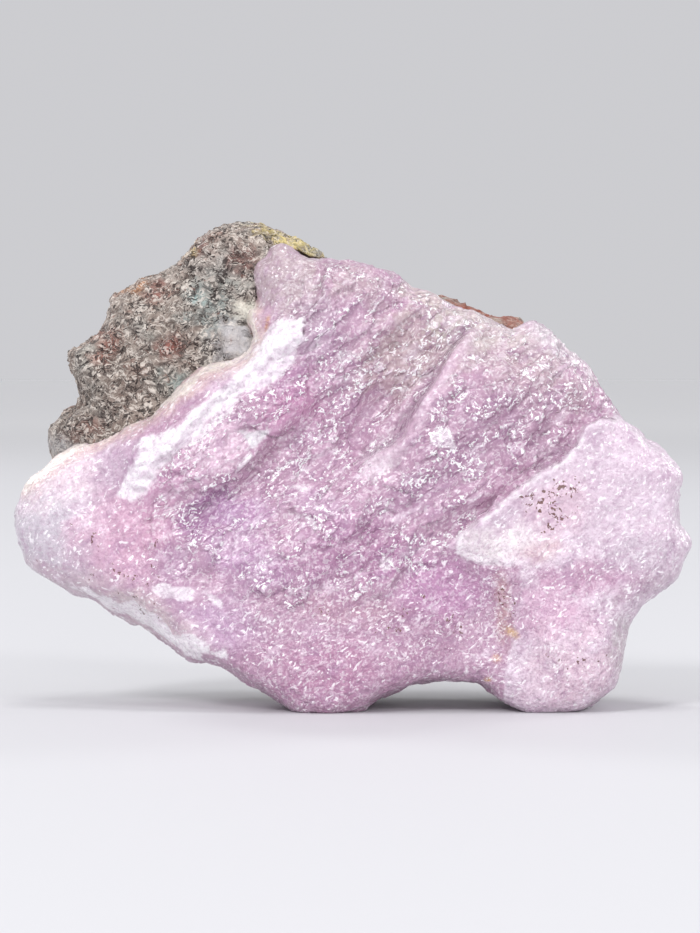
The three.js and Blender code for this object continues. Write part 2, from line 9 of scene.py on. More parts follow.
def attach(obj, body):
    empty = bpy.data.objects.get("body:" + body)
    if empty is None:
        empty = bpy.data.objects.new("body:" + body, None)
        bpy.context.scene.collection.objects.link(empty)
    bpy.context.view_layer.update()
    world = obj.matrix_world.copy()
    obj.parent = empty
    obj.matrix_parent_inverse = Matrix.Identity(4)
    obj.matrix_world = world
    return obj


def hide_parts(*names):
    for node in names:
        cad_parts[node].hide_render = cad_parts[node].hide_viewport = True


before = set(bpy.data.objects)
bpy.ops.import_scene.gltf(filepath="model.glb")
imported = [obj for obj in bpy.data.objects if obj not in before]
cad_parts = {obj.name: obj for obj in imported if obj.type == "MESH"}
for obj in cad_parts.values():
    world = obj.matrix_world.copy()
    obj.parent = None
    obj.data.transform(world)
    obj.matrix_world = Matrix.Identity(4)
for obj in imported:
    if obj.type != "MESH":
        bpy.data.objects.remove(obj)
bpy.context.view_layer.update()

# Units. Places on the stone are in millimetres of its plan: x to the right, z up from the floor.
MM = 0.001
PLAN_SHIFT_X = -0.336
# The crystals' fibres rise to the right at this angle above the floor.
FIBRE_ANGLE = math.radians(38)
# Paint is laid darker than it looks in the light, which leaves room for white glints above it.
PAINT_LEVEL = 0.84

# Fine meshes: size of the cells in millimetres, rounds of smoothing, triangles that are left.
ARAGONITE_CELL = 0.39
ARAGONITE_SMOOTHING = 22
ARAGONITE_TRIANGLES = 196000
MATRIX_CELL = 0.40
MATRIX_SMOOTHING = 16
MATRIX_TRIANGLES = 190000
# How far off its surface a thinned mesh's point may lie, in millimetres, and in how many steps the
# weights say what is kept.
THINNING_SLIP = 0.25
KEEP_STEPS = 4

# Ranges of depth, in millimetres from the front (negative) to the back, where one look gives way to another.
ARAGONITE_FULL_MESH = (-8, -7)
ARAGONITE_FRONT_PAINT = (-6, 3)
ROCK_FULL_MESH = (4, 8)
ROCK_FRONT_PAINT = (6, 16)
ROCK_DRIFT = (-6, 6)
ROCK_CRYSTALS = (8, 16)
ROCK_FILLET = (8, 14)
ROCK_BROKEN_BACK = (12, 20)

# The contact, in millimetres: how far the rock's face comes forward, how its rim there leans, and from
# how far off a point is drawn to the aragonite, or put on it.
CONTACT_CLOSE = 1.2
CONTACT_LEAN = (1.1, -1.2, -1.1)
CONTACT_REACH = 3.5
CONTACT_TOUCH = 0.4
# Heights in millimetres: the aragonite's hidden back towards the rock, the white scar, the rock's crystals.
BACK_SWELL = 0.35
SCAR_LIFT = 0.15
CRYSTAL_LIFT = 1.1
# The rock's back is sunk by this much, and then kept within this range of heights.
ROCK_BACK_SINK = 1.4
ROCK_BACK_RANGE = (-4.5, 0.7)
# Where the rock's rim shows above the aragonite: place, half sizes, angle, and how far it is raised.
RIM_LIFTS = [(22, 69.5, 13, 8, -22, 1.3), (-6, 81, 8, 6, -28, 0.8)]

# The lines where the front face steps down.
LEDGE = [(57, 53), (50, 51.8), (44.2, 51.3), (41.2, 49.9), (40, 46.7), (37.1, 44), (33.6, 42.1),
         (29.7, 39.3), (25.1, 35.5), (20.6, 32), (18.5, 30.4)]
CREST = [(23.8, 68.7), (20.8, 66.2), (18.5, 63.4), (16.4, 59.8), (14.4, 56.6), (11.6, 52.4), (9.5, 48.5),
         (7.4, 46.5), (4.2, 44.8), (1, 43.4)]
SHELF = [(-1, 57.5), (-5.8, 54), (-10.7, 49.2), (-15.2, 45.1), (-18.7, 41), (-22.8, 38), (-27.6, 35.7),
         (-30.2, 31.8)]
SCAR = [(-9, 65.5), (-13, 62), (-19.5, 57.6), (-25.7, 52.2), (-30.6, 46.7), (-35, 41.6), (-38.4, 36.8)]
SHOULDER = [(-3, 82), (-4, 77.5), (-4.9, 73.5), (-6.8, 70.3), (-9.5, 68.4), (-12.5, 67.3), (-16, 64.5)]
TONGUE = [(18.5, 30.4), (18.8, 28.9), (19.9, 27.3), (22.0, 26.2), (26, 26.0), (30, 25.6)]
# With LEDGE before them, the outline of the right lobe, drawn wide where it leaves the stone.
LOBE_CORNERS = TONGUE[1:] + [(30, 20), (28, 10), (26, -5), (80, -5), (80, 53)]
# Line, the side that stands proud (1 for left of the line as it is drawn, -1 for right), height of the
# crisp riser, half width of the soft one, fade at the ends, how ragged the riser is.
STEPS = [
    (LEDGE, 1, 3.2, 2.6, 7, 0.8),
    (CREST, 1, 3.2, 3.4, 6, 0.25),
    (TONGUE, 1, 1.6, 0.9, 4, 0.35),
    (SHELF, -1, 1.6, 2.4, 8, 0.7),
    (SCAR, -1, 1.2, 2.0, 5, 0.9),
    (SHOULDER, 1, 1.8, 2.2, 6, 0.5),
]

# The outline of the broken, glassy part of the face.
BROKEN_ZONE = [(-38, 38), (-30, 50), (-17, 60), (-12, 72), (-6, 80), (6, 79), (16, 75), (27, 70),
               (36, 68), (52, 54), (45, 48), (42, 44), (32, 36), (24, 30), (18, 27), (8, 20),
               (-8, 18), (-24, 21), (-35, 29)]

WHITE_SCAR = [(-36.4, 47.8), (-32.9, 48.5), (-29.3, 50.2), (-26.7, 52.9), (-22.8, 55.8), (-19.6, 58.6),
              (-17.2, 61.6), (-15.4, 64.6), (-13.0, 68.0), (-8.1, 68.7), (-7.9, 65.5), (-9.8, 61.6),
              (-13.0, 58.2), (-15.7, 56.6), (-18.4, 55.9), (-21.4, 53.8), (-25.8, 50.2), (-27.6, 47.8),
              (-29.9, 46.0), (-33.4, 42.1), (-35.9, 38.5), (-37.8, 36.8), (-40.5, 37.9), (-38.9, 40.7),
              (-37.8, 44.2)]

WHITE_CHIP = [(-19.6, 49.3), (-17.2, 48.9), (-13.4, 49.4), (-15.2, 47.3), (-16.9, 45.8), (-17.9, 47.6)]

SELVAGE = [(-58, 39), (-52, 44), (-43, 48.4), (-35, 52.2), (-30, 55.6), (-25, 60), (-18, 62.4),
           (-16.5, 66), (-17.5, 71)]
# A pale block and a cream chip that sit in the rock at the contact.
PALE_BLOCK = [(-23.2, 67.4), (-22.2, 63.2), (-19.8, 62.0), (-17.0, 62.6), (-16.6, 66.8), (-19.2, 68.0)]
CREAM_CHIP = [(-20.0, 71.8), (-19.6, 69.6), (-18.0, 68.3), (-14.6, 67.0), (-14.0, 72.0)]
CONTACT_LINE = SELVAGE + [(-17, 76), (-15.8, 79.5), (-13.2, 82.4), (-8, 81.5)]

# Large whole numbers that stir a cell's place into random bits.
CELL_PRIMES = (73856093, 19349663, 83492791)
SEED_STEP = 40503
STIRRERS = (0x45D9F3B, 0x2C1B3C6D)
BITS_KEPT = 0xFFFFFFFF
BITS_GIVEN = 0xFFFFFF
# Brings the noise to about -1 to 1.
NOISE_GAIN = 1.6
# More than any distance on the stone.
FAR = 1e9


def linear(colour):
    """An sRGB colour, 0 to 255, as the linear numbers that a shader takes."""
    share = np.array(colour, float) / 255
    return np.where(share <= 0.04045, share / 12.92, ((share + 0.055) / 1.055) ** 2.4)


def mineral(colour):
    """The paint for a colour as it looks in the light, which leaves room for white glints above it."""
    return linear(colour) * PAINT_LEVEL


def smoothstep(low, high, value):
    """0 at low and 1 at high, whichever of the two is the greater, and an even curve between them."""
    share = np.clip((value - low) / (high - low), 0, 1)
    return share * share * (3 - 2 * share)


# Noise. Points and the sizes of lumps are in millimetres. A seed picks a pattern, which is the same on
# every run.

CORNERS = np.array([(i, j, k) for i in (0, 1) for j in (0, 1) for k in (0, 1)])
NEIGHBOURS = np.array([(i, j, k) for i in (-1, 0, 1) for j in (-1, 0, 1) for k in (-1, 0, 1)])


def scattered(cells, seed):
    """Three random numbers from 0 to 1 for each whole-number cell."""
    mask = np.int64(BITS_KEPT)
    prime_x, prime_y, prime_z = CELL_PRIMES
    key = (cells[:, 0] * prime_x) ^ (cells[:, 1] * prime_y) ^ (cells[:, 2] * prime_z)
    key = (key + seed * SEED_STEP) & mask
    found = []
    for step in range(3):
        key = ((key ^ (key >> 16)) * STIRRERS[0]) & mask
        key = ((key ^ (key >> 15)) * STIRRERS[1] + step) & mask
        found.append((key ^ (key >> 16)) & BITS_GIVEN)
    return np.stack(found, axis=1) / float(BITS_GIVEN + 1)


def noise(points, size, seed):
    """Smooth lumps about size across, from -1 to 1."""
    scaled = points / size
    cell = np.floor(scaled).astype(np.int64)
    part = scaled - cell
    ease = part ** 3 * (part * (part * 6 - 15) + 10)
    total = np.zeros(len(points))
    for corner in CORNERS:
        lean = scattered(cell + corner, seed) * 2 - 1
        weight = np.prod(np.where(corner == 1, ease, 1 - ease), axis=1)
        total += weight * np.sum(lean * (part - corner), axis=1)
    return total * NOISE_GAIN


def fractal(points, size, seed, octaves=3):
    """Lumps about size across with smaller lumps on them."""
    total = np.zeros(len(points))
    for octave in range(octaves):
        total += noise(points, size / 2 ** octave, seed + octave) / 2 ** octave
    return total


def nearest_cell(points, size, seed):
    """For each point, the cell with the nearest scattered centre, the way from there, and its square."""
    scaled = points / size
    cell = np.floor(scaled).astype(np.int64)
    nearest = np.full(len(points), FAR)
    found = cell.copy()
    way = np.zeros(points.shape)
    for step in NEIGHBOURS:
        gap = scaled - (cell + step + scattered(cell + step, seed))
        distance = np.sum(gap * gap, axis=1)
        nearer = distance < nearest
        nearest = np.where(nearer, distance, nearest)
        found = np.where(nearer[:, None], cell + step, found)
        way = np.where(nearer[:, None], gap, way)
    return found, way, nearest


def facets(points, size, seed):
    """Heights of flat chips, each leaning its own way."""
    found, way, _ = nearest_cell(points, size, seed)
    lean = scattered(found, seed + 77) * 2 - 1
    return np.sum(way * lean, axis=1) * size


def grains(points, size, seed):
    """Heights of rounded, packed grains, from 0 in the joints to 1."""
    return 1 - np.clip(nearest_cell(points, size, seed)[2], 0, 1)


def mosaic(points, size, seed):
    """One random number from -1 to 1 for each cell."""
    return scattered(nearest_cell(points, size, seed)[0], seed)[:, 0] * 2 - 1


def turned(x, z, angle):
    """How far places lie along and across a direction that rises at this angle."""
    c = math.cos(angle)
    s = math.sin(angle)
    return x * c + z * s, z * c - x * s


def along_fibres(points, stretch):
    """Points squeezed along the fibre direction, so that what is made in them comes out long."""
    along, across = turned(points[:, 0], points[:, 2], FIBRE_ANGLE)
    return np.stack([along / stretch, points[:, 1], across], axis=1)


# Plan shapes.

def inside(x, z, outline):
    """How far each place is inside a closed outline of the plan, negative outside."""
    ring = np.array(outline, float)
    best = np.full(len(x), FAR)
    odd = np.zeros(len(x), bool)
    for (ax, az), (bx, bz) in zip(ring, np.roll(ring, -1, axis=0)):
        best = np.minimum(best, distance_to_edge(x, z, ax, az, bx, bz))
        crosses = (az > z) != (bz > z)
        slope = np.where(bz == az, 1e-9, bz - az)
        odd ^= crosses & (x < (bx - ax) * (z - az) / slope + ax)
    return np.where(odd, best, -best)


def distance_to_edge(x, z, ax, az, bx, bz):
    """How far each place is from the straight edge between a and b."""
    length = (bx - ax) ** 2 + (bz - az) ** 2
    share = np.clip(((x - ax) * (bx - ax) + (z - az) * (bz - az)) / length, 0, 1)
    return np.hypot(x - ax - share * (bx - ax), z - az - share * (bz - az))


def distance_to_line(x, z, line):
    best = np.full(len(x), FAR)
    for (ax, az), (bx, bz) in zip(line, line[1:]):
        best = np.minimum(best, distance_to_edge(x, z, ax, az, bx, bz))
    return best


def side_of_line(x, z, line):
    """Signed distance to an open line: positive to the right of it as it is drawn."""
    best = np.full(len(x), FAR)
    signed = np.zeros(len(x))
    for (ax, az), (bx, bz) in zip(line, line[1:]):
        distance = distance_to_edge(x, z, ax, az, bx, bz)
        right = (bz - az) * (x - ax) - (bx - ax) * (z - az)
        nearer = distance < best
        signed = np.where(nearer, np.sign(right) * distance, signed)
        best = np.minimum(best, distance)
    return signed


def line_fade(x, z, line, fade):
    """0 at both ends of a line and 1 further than fade from them."""
    first = np.hypot(x - line[0][0], z - line[0][1])
    last = np.hypot(x - line[-1][0], z - line[-1][1])
    return smoothstep(0, fade, np.minimum(first, last))


# Fine meshes.

def fine_copy(node, cell, smoothing):
    """A node's shape again in small even cells, its large facets rounded into each other."""
    piece = bpy.data.objects.new(node + "_fine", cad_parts[node].data.copy())
    bpy.context.scene.collection.objects.link(piece)
    remesh = piece.modifiers.new("cells", "REMESH")
    remesh.mode = "VOXEL"
    remesh.voxel_size = cell * MM
    smooth = piece.modifiers.new("smooth", "SMOOTH")
    smooth.factor = 0.5
    smooth.iterations = smoothing
    apply_modifiers(piece)
    return piece


def apply_modifiers(piece):
    bpy.context.view_layer.update()
    evaluated = piece.evaluated_get(bpy.context.evaluated_depsgraph_get())
    mesh = bpy.data.meshes.new_from_object(evaluated)
    piece.modifiers.clear()
    old = piece.data
    piece.data = mesh
    bpy.data.meshes.remove(old)


def read_vectors(piece, name):
    """Three numbers for each of the mesh's points."""
    flat = np.zeros(len(piece.data.vertices) * 3, np.float32)
    piece.data.vertices.foreach_get(name, flat)
    return flat.reshape(-1, 3).astype(float)


def read_points(piece):
    """The mesh's points in millimetres of the plan."""
    points = read_vectors(piece, "co") / MM
    points[:, 0] -= PLAN_SHIFT_X
    return points


def read_normals(piece):
    """The direction in which the surface faces at each point."""
    return read_vectors(piece, "normal")


def write_points(piece, points):
    """Puts the mesh's points at places in millimetres of the plan, none of them below the floor."""
    moved = points.copy()
    moved[:, 0] += PLAN_SHIFT_X
    moved[:, 2] = np.maximum(moved[:, 2], 0)
    piece.data.vertices.foreach_set("co", (moved * MM).astype(np.float32).ravel())
    piece.data.update()


def surface_tree(piece):
    """The piece's surface in millimetres of the plan, to look up its nearest points."""
    faces = [tuple(face.vertices) for face in piece.data.polygons]
    return BVHTree.FromPolygons(read_points(piece).tolist(), faces)


def thin_out(piece, triangles, keep):
    """Fewer triangles, taken first where keep, from 0 to 1, is low. Points stay on the surface they had."""
    surface = surface_tree(piece)
    group = piece.vertex_groups.new(name="keep")
    for step in range(KEEP_STEPS + 1):
        chosen = np.nonzero(np.round(keep * KEEP_STEPS) == step)[0]
        group.add(chosen.tolist(), step / KEEP_STEPS, "REPLACE")
    count = sum(len(p.vertices) - 2 for p in piece.data.polygons)
    decimate = piece.modifiers.new("thin", "DECIMATE")
    decimate.ratio = min(1, triangles / count)
    decimate.vertex_group = "keep"
    decimate.invert_vertex_group = True
    decimate.vertex_group_factor = 1
    apply_modifiers(piece)
    piece.vertex_groups.clear()
    points = read_points(piece)
    for i, point in enumerate(points):
        place, _, _, distance = surface.find_nearest(point)
        if distance > THINNING_SLIP:
            points[i] = place
    write_points(piece, points)


def shade_smooth(piece):
    """Shades the fine mesh without showing its triangles."""
    piece.data.polygons.foreach_set("use_smooth", [True] * len(piece.data.polygons))


def store_number(piece, name, values):
    attribute = piece.data.attributes.new(name, "FLOAT", "POINT")
    attribute.data.foreach_set("value", np.asarray(values, np.float32))


def store_colour(piece, name, colours):
    attribute = piece.data.attributes.new(name, "FLOAT_COLOR", "POINT")
    full = np.ones((len(colours), 4), np.float32)
    full[:, :3] = colours
    attribute.data.foreach_set("color", full.ravel())


# Aragonite: shape.

def aragonite_zones(points, normals):
    """How far each point is in the broken face, on the front, on the lobe and on the crest's bevel."""
    x, _, z = points.T
    wander = noise(points, 5, 11) * 1.6 + noise(points, 2, 12) * 0.5
    facing = smoothstep(-0.1, 0.45, -normals[:, 1])
    ragged = noise(points, 3, 35) * 0.5 + noise(points, 1.2, 36) * 0.3
    lobe = smoothstep(-0.3, 0.3, inside(x, z, LEDGE + LOBE_CORNERS) + ragged)
    crest = -side_of_line(x, z, CREST)
    bevel = smoothstep(-0.3, 0.3, crest + ragged * 0.15) * (1 - smoothstep(1.4, 3.4, crest + ragged * 2))
    bevel *= line_fade(x, z, CREST, 6)
    broken = smoothstep(-1.5, 1.5, inside(x, z, BROKEN_ZONE) + wander) * facing * (1 - lobe)
    return broken * (1 - 0.85 * bevel), facing, lobe, bevel


def crisp_steps(points):
    """How far forward each point moves where the soft steps of the source become crisp."""
    x, _, z = points.T
    ragged = noise(points, 4, 61) * 0.9 + noise(points, 1.7, 62) * 0.5 + mosaic(points, 1.3, 63) * 0.22
    moved = np.zeros(len(x))
    for line, side, height, soft, fade, rough in STEPS:
        distance = -side * side_of_line(x, z, line)
        crisp = smoothstep(-0.6, 0.6, distance + ragged * rough)
        moved += height * (crisp - smoothstep(-soft, soft, distance)) * line_fade(x, z, line, fade)
    return moved


def broken_relief(points):
    """Heights in millimetres on the broken face: leaning crystal faces, ridges, and patches of crumbs."""
    large_chips = facets(along_fibres(points, 2.0), 6.5, 20) * 0.11
    small_chips = facets(along_fibres(points, 1.9), 3.4, 21) * 0.21
    ridges = (1 - np.abs(noise(along_fibres(points, 1.6), 4.0, 29)) * 2) * 0.18
    crumbs = facets(along_fibres(points, 1.4), 1.5, 23) * 0.30
    crumbling = 0.15 + 0.85 * smoothstep(-0.25, 0.35, noise(along_fibres(points, 1.9), 7, 24))
    return large_chips + small_chips + ridges + crumbs * crumbling


def skin_relief(points):
    """Heights in millimetres on the unbroken skin: low swellings, packed grains and sugar."""
    swellings = noise(points, 4.2, 25) * 0.28
    return swellings + grains(points, 1.9, 26) * 0.16 + facets(points, 1.1, 27) * 0.10


def side_relief(points):
    """Heights in millimetres all round the edge, which scallop the outline."""
    scallops = (grains(points, 5.5, 76) - 0.75) * 0.9
    return noise(points, 6, 72) * 0.6 + facets(points, 3.2, 73) * 0.12 + scallops


def shape_aragonite(piece):
    points = read_points(piece)
    normals = read_normals(piece)
    broken, facing, _, _ = aragonite_zones(points, normals)
    points[:, 1] -= crisp_steps(points) * facing
    height = broken * broken_relief(points) + (1 - broken) * skin_relief(points)
    height += fractal(points, 9, 28, 2) * 0.30
    sides = 1 - smoothstep(-0.1, 0.5, -normals[:, 1])
    height += sides * side_relief(points)
    scar = smoothstep(-0.8, 0.8, inside(points[:, 0], points[:, 2], WHITE_SCAR)) * facing
    height += scar * (SCAR_LIFT + facets(points, 1.6, 30) * 0.28)
    height += BACK_SWELL * smoothstep(0.1, 0.6, normals[:, 1])
    write_points(piece, points + normals * height[:, None])


# Aragonite: colour. Each patch: name, place x and z, half length, half width, angle in degrees,
# sRGB colour, strength. Later patches lie over earlier ones.

LILAC = (202, 165, 190)
HIDDEN_LILAC = (214, 186, 213)
LOBE_PINK = (234, 213, 229)
# The tip ends in this range of x, and past it the body has this much less red, green and blue.
BODY_START = (-48, -38)
BODY_DEPTH = (0.025, 0.085, 0.055)
# Mottles: colour, size, seed, range of the noise in which they come up, strength.
HIDDEN_MOTTLES = [
    ((184, 146, 184), 12, 33, 0, 0.7, 0.6),
    ((232, 214, 228), 9, 34, 0, 0.7, 0.7),
]
ARAGONITE_PATCHES = [
    ("tip", -55, 33, 16, 15, 0, (219, 210, 221), 0.95),
    ("tip top", -47, 42, 13, 6, 22, (252, 228, 238), 0.8),
    ("sugary lavender", -39, 43, 9, 7, 25, (211, 187, 210), 0.7),
    ("left pink", -38, 31, 14, 9, 0, (223, 178, 204), 0.9),
    ("rosy by the scar", -33, 40, 4, 7, -40, (212, 168, 196), 0.7),
    ("pink by the scar", -30, 42, 8, 4.5, 45, (215, 171, 200), 0.8),
    ("pale by the scar", -23.5, 46, 8, 6.5, 30, (240, 212, 230), 0.9),
    # The purple hollow and the lower purple hollow are deep purple with painted shade where the face drops
    # below the shelf.
    ("purple hollow", -25, 34, 9, 4.6, 35, (162, 114, 160), 0.85),
    ("lower purple hollow", -30, 26, 5, 6, 0, (172, 131, 166), 0.7),
    ("lilac pool", -18, 35, 6, 3.4, 10, (199, 160, 200), 0.7),
    ("pale pool", -20, 29, 9, 5, 0, (208, 176, 208), 0.6),
    ("lilac shelf", -17, 25, 10, 4, 0, (191, 148, 189), 0.6),
    ("pink low left", -24, 22, 7, 3.4, 0, (215, 180, 204), 0.6),
    ("lavender low left", -24, 15, 10, 6, -15, (209, 176, 209), 0.8),
    ("cream band", -35, 16.5, 15, 4.2, -26, (238, 221, 224), 0.95),
    ("skirt", -49, 21.5, 12, 2.2, -27, (214, 188, 202), 0.8),
    ("pink under the selvage", -32, 52, 11, 2.8, 25, (205, 163, 190), 0.8),
    ("pale upper left", -20, 57.5, 10, 3.6, 35, (236, 212, 230), 0.8),
    ("white shoulder", -13.5, 62, 10, 5, 30, (243, 230, 238), 0.95),
    ("grey pink lobe", -10, 76, 8, 10, 0, (199, 183, 185), 0.9),
    ("mauve above", -6, 66, 5, 7, 0, (185, 152, 180), 0.6),
    ("mauve centre", -11, 58, 7, 5, 20, (189, 138, 178), 0.7),
    ("rose centre", -10, 53, 9, 5, 30, (209, 149, 188), 0.75),
    ("pale rose", -9, 48, 5, 3, 10, (212, 176, 203), 0.6),
    # The rose notch is painted shade: a dark line along the shelf's step.
    ("rose notch", -13, 46.5, 7, 1.6, 42, (181, 138, 164), 0.75),
    ("top lilac", 1, 76, 9, 4, -8, (199, 182, 182), 0.6),
    ("beige top", 11, 62, 10, 13, -20, (199, 181, 177), 0.75),
    ("cream rim", 13, 73, 7, 2.2, -15, (230, 217, 212), 0.85),
    ("pale rim", 22, 66, 11, 5, -20, (210, 204, 195), 0.85),
    ("cream under the rim", 28, 67, 8, 3, -25, (228, 217, 214), 0.85),
    ("white rim", 37, 65, 10, 3.4, -38, (234, 227, 231), 0.9),
    ("grey rim", 35, 61.5, 6, 2.4, -30, (202, 188, 194), 0.6),
    ("grey lilac", 33, 57, 13, 7, -20, (208, 188, 192), 0.75),
    ("grey mauve", 27, 51, 14, 8, 0, (188, 152, 177), 0.75),
    ("bevel", 11, 53, 10, 2.2, 50, (220, 186, 209), 0.85),
    ("frost under the crest", 6, 44, 4.5, 3.4, 30, (239, 231, 236), 0.7),
    ("mauve slope", 15, 40, 13, 5, 35, (181, 143, 173), 0.6),
    ("grey by the ledge", 36, 44.5, 5, 3.4, 40, (181, 153, 173), 0.6),
    ("pale streak", -5, 36, 8, 3, -20, (217, 189, 214), 0.6),
    ("granular mauve", 0, 29, 14, 7, 0, (185, 131, 172), 0.65),
    ("lower lilac", 16, 22, 10, 7, 0, (198, 141, 188), 0.75),
    ("rosy grain", 0, 18, 10, 3.4, 0, (183, 140, 160), 0.6),
    ("grey grain", 14, 13, 9, 5, 0, (170, 123, 155), 0.6),
    ("bottom pink", -5, 8, 16, 7, 0, (190, 133, 169), 0.75),
]
LOBE_PATCHES = [
    ("pink under the specks", 36, 36, 8, 6, -10, (232, 196, 214), 0.6),
    ("peach", 33, 28.0, 7, 2.4, 10, (222, 182, 180), 0.45),
    ("mauve pink band", 41, 23.5, 14, 3.8, 5, (200, 147, 181), 0.8),
    ("grey lilac side", 51, 27.5, 8, 4, 10, (209, 192, 207), 0.7),
    ("lobe pink", 35, 17, 9, 6, 0, (220, 172, 202), 0.8),
    ("lobe foot", 39, 8, 12, 8, 0, (235, 204, 220), 0.85),
    ("grey edge", 48, 12, 3, 8, 0, (195, 183, 187), 0.7),
    ("right lower rim", 51, 21.5, 9, 2.2, 25, (200, 176, 191), 0.6),
    ("tongue", 25, 29.5, 8, 4.4, 8, (254, 242, 246), 1.0),
]
STAINS = [
    ("stain column", 27, 18, 2, 9, 5, (203, 158, 148), 0.5),
    ("orange stain", 28.6, 14, 1.9, 1.0, -30, (224, 182, 120), 0.75),
    ("small orange stain", 25.8, 9.6, 1.2, 1.0, 0, (217, 160, 110), 0.75),
    ("orange dot", 24.3, 5.8, 0.9, 0.7, 0, (229, 180, 100), 0.9),
    ("orange seam", -14.2, 68, 0.5, 1.9, -10, (203, 146, 96), 0.9),
    ("upper left seam", -18.8, 69.2, 2.6, 1.9, -20, (238, 229, 212), 1.0),
]
# White marks: name, place x and z, half length, half width, angle, strength. The long glint and the upper
# spark field are painted highlights.
WHITE_MARKS = [
    ("low streak", -29.5, 20.9, 5.4, 1.2, -10, 0.7),
    ("streak end", -23.5, 19.8, 2.2, 0.7, -40, 0.7),
    ("bright patch", 16.4, 47.8, 2.2, 1.5, -35, 0.6),
    ("bright lower patch", 5.6, 43.4, 3.4, 2.6, 40, 0.15),
    ("white dot", 6.5, 26.1, 1.1, 1.0, 0, 0.8),
    ("pale streak core", -8.5, 39.2, 2.2, 0.8, -10, 0.7),
    ("second scar", -23.5, 50.5, 5.5, 0.7, 42, 0.6),
    ("third scar", -17.6, 44.2, 4, 0.7, 48, 0.6),
    ("long glint", -6.5, 33.2, 2.4, 0.7, -42, 0.5),
    ("upper spark field", -1, 61.5, 2.2, 1.8, 30, 0.35),
    ("left crust", -38, 17.0, 9, 1.9, -24, 0.9),
    ("low crust", -27.5, 12.2, 6, 2.4, -26, 0.95),
]
# Fields of glints: place x and z, half length, half width, angle.
SPARKLE_FIELDS = [
    (1, 61, 5, 3.5, 20), (13, 63, 6, 3, 30), (20, 66, 6, 2.6, 0), (2, 72, 6, 3, 0), (28, 55, 9, 4.5, 10),
    (-2, 53, 6, 2.6, 35), (6, 44, 5, 4, 40), (18, 42, 10, 5, 30), (30, 46, 6, 4, 0), (-6, 35, 8, 3.4, -30),
    (-27, 30, 5, 5, 0), (-12, 40, 6, 3, 20), (40, 54, 7, 2.6, -20), (14, 30, 8, 3, 10),
]
# Fields of brown specks: place x and z, half length, half width and angle, then how thick they lie.
SPECK_FIELDS = [
    ((35.5, 36.8, 7, 5, -10), 1.0),
    ((43, 36, 6, 3, -20), 0.15),
    ((-35.5, 24, 3.5, 4, 0), 0.5),
    ((-39, 19, 8, 3.2, -20), 0.3),
    ((-44, 28, 12, 5, 0), 0.2),
    ((27, 20, 2.5, 7, 0), 0.3),
    ((39, 9, 7, 2.5, 0), 0.4),
    ((8, 17, 14, 5, 0), 0.35),
]


def patch_weight(x, z, wander, place):
    """How much each point lies in a patch with a soft, ragged rim."""
    cx, cz, length, width, angle = place
    along, across = turned(x - cx, z - cz, math.radians(angle))
    reach = np.sqrt((along / length) ** 2 + (across / width) ** 2) + wander
    return 1 - smoothstep(0.35, 1.15, reach)


def mix_in(colours, colour, weight):
    """Lays the paint of a colour over the colours, as strongly as weight says, from 0 to 1."""
    colours += (mineral(colour) - colours) * weight[:, None]


def whiten(colours, colour, weight):
    """As mix_in, at full brightness, for the whites that outshine the paint."""
    colours += (linear(colour) - colours) * weight[:, None]


def lay_patches(colours, x, z, wander, patches, cover):
    """Lays a table of patches, as far as cover reaches."""
    for _, *place, colour, strength in patches:
        mix_in(colours, colour, patch_weight(x, z, wander, place) * strength * cover)


def lay_mottles(colours, points, mottles, octaves, cover):
    """Lays a table of mottles, as far as cover reaches."""
    for colour, size, seed, low, high, strength in mottles:
        shown = smoothstep(low, high, fractal(points, size, seed, octaves))
        mix_in(colours, colour, shown * strength * cover)


def paint_ledge_and_crest(colours, points, ragged, lobe, bevel, near_front):
    """Painted highlight along the ledge, white crust on the tongue, a pale bevel on the crest, and painted
    shade below it and in the crease at its foot.
    """
    x, _, z = points.T
    # Painted highlight: a white line along the ledge's edge.
    edge = np.abs(side_of_line(x, z, LEDGE) + 0.5 + ragged * 0.3)
    ledge_highlight = (1 - smoothstep(0.2, 0.8, edge)) * smoothstep(-0.2, 0.3, noise(points, 2.2, 71))
    mix_in(colours, (252, 246, 250), ledge_highlight * 0.7 * near_front)
    crust = (1 - smoothstep(0.3, 2.2, distance_to_line(x, z, TONGUE) + ragged * 0.5)) * lobe
    whiten(colours, (250, 242, 247), crust * near_front * 0.75)
    crest = -side_of_line(x, z, CREST) + ragged * 0.15
    mix_in(colours, (226, 194, 214), bevel * 0.75)
    # Painted shade on the lower side of the crest's step.
    below = smoothstep(-3.0, -0.5, crest) * (1 - smoothstep(-0.4, 0.2, crest)) * line_fade(x, z, CREST, 6)
    mix_in(colours, (176, 146, 166), below * 0.45)
    # Painted shade: a dark line in the crease at the foot of the crest's riser.
    foot = (1 - smoothstep(0.15, 0.6, np.abs(crest + 0.35))) * line_fade(x, z, CREST, 4)
    mix_in(colours, (112, 82, 104), foot * 0.35)


def paint_selvage(colours, x, z, ragged):
    """The cream band along the rock, with its near-white rim."""
    selvage = distance_to_line(x, z, SELVAGE) + ragged * 0.8
    mix_in(colours, (240, 212, 206), (1 - smoothstep(0.8, 3.2, selvage)) * 0.8)
    whiten(colours, (246, 236, 226), (1 - smoothstep(0.3, 1.1, selvage)) * 0.85)


def paint_scar(colours, points, ragged, frayed, near_front):
    """The white scar and the white chip beside it. Gives back how far each point is in the scar."""
    x, _, z = points.T
    scar = smoothstep(-0.5, 0.3, inside(x, z, WHITE_SCAR) + 0.15 + ragged * 0.4 + frayed * 0.4)
    uneven = 0.90 + 0.18 * np.clip(mosaic(points, 1.7, 70), -0.6, 0.6)
    whiten(colours, (252, 245, 251), scar * near_front * uneven)
    chip = smoothstep(-0.15, 0.2, inside(x, z, WHITE_CHIP))
    mix_in(colours, (246, 240, 246), chip * near_front)
    return scar


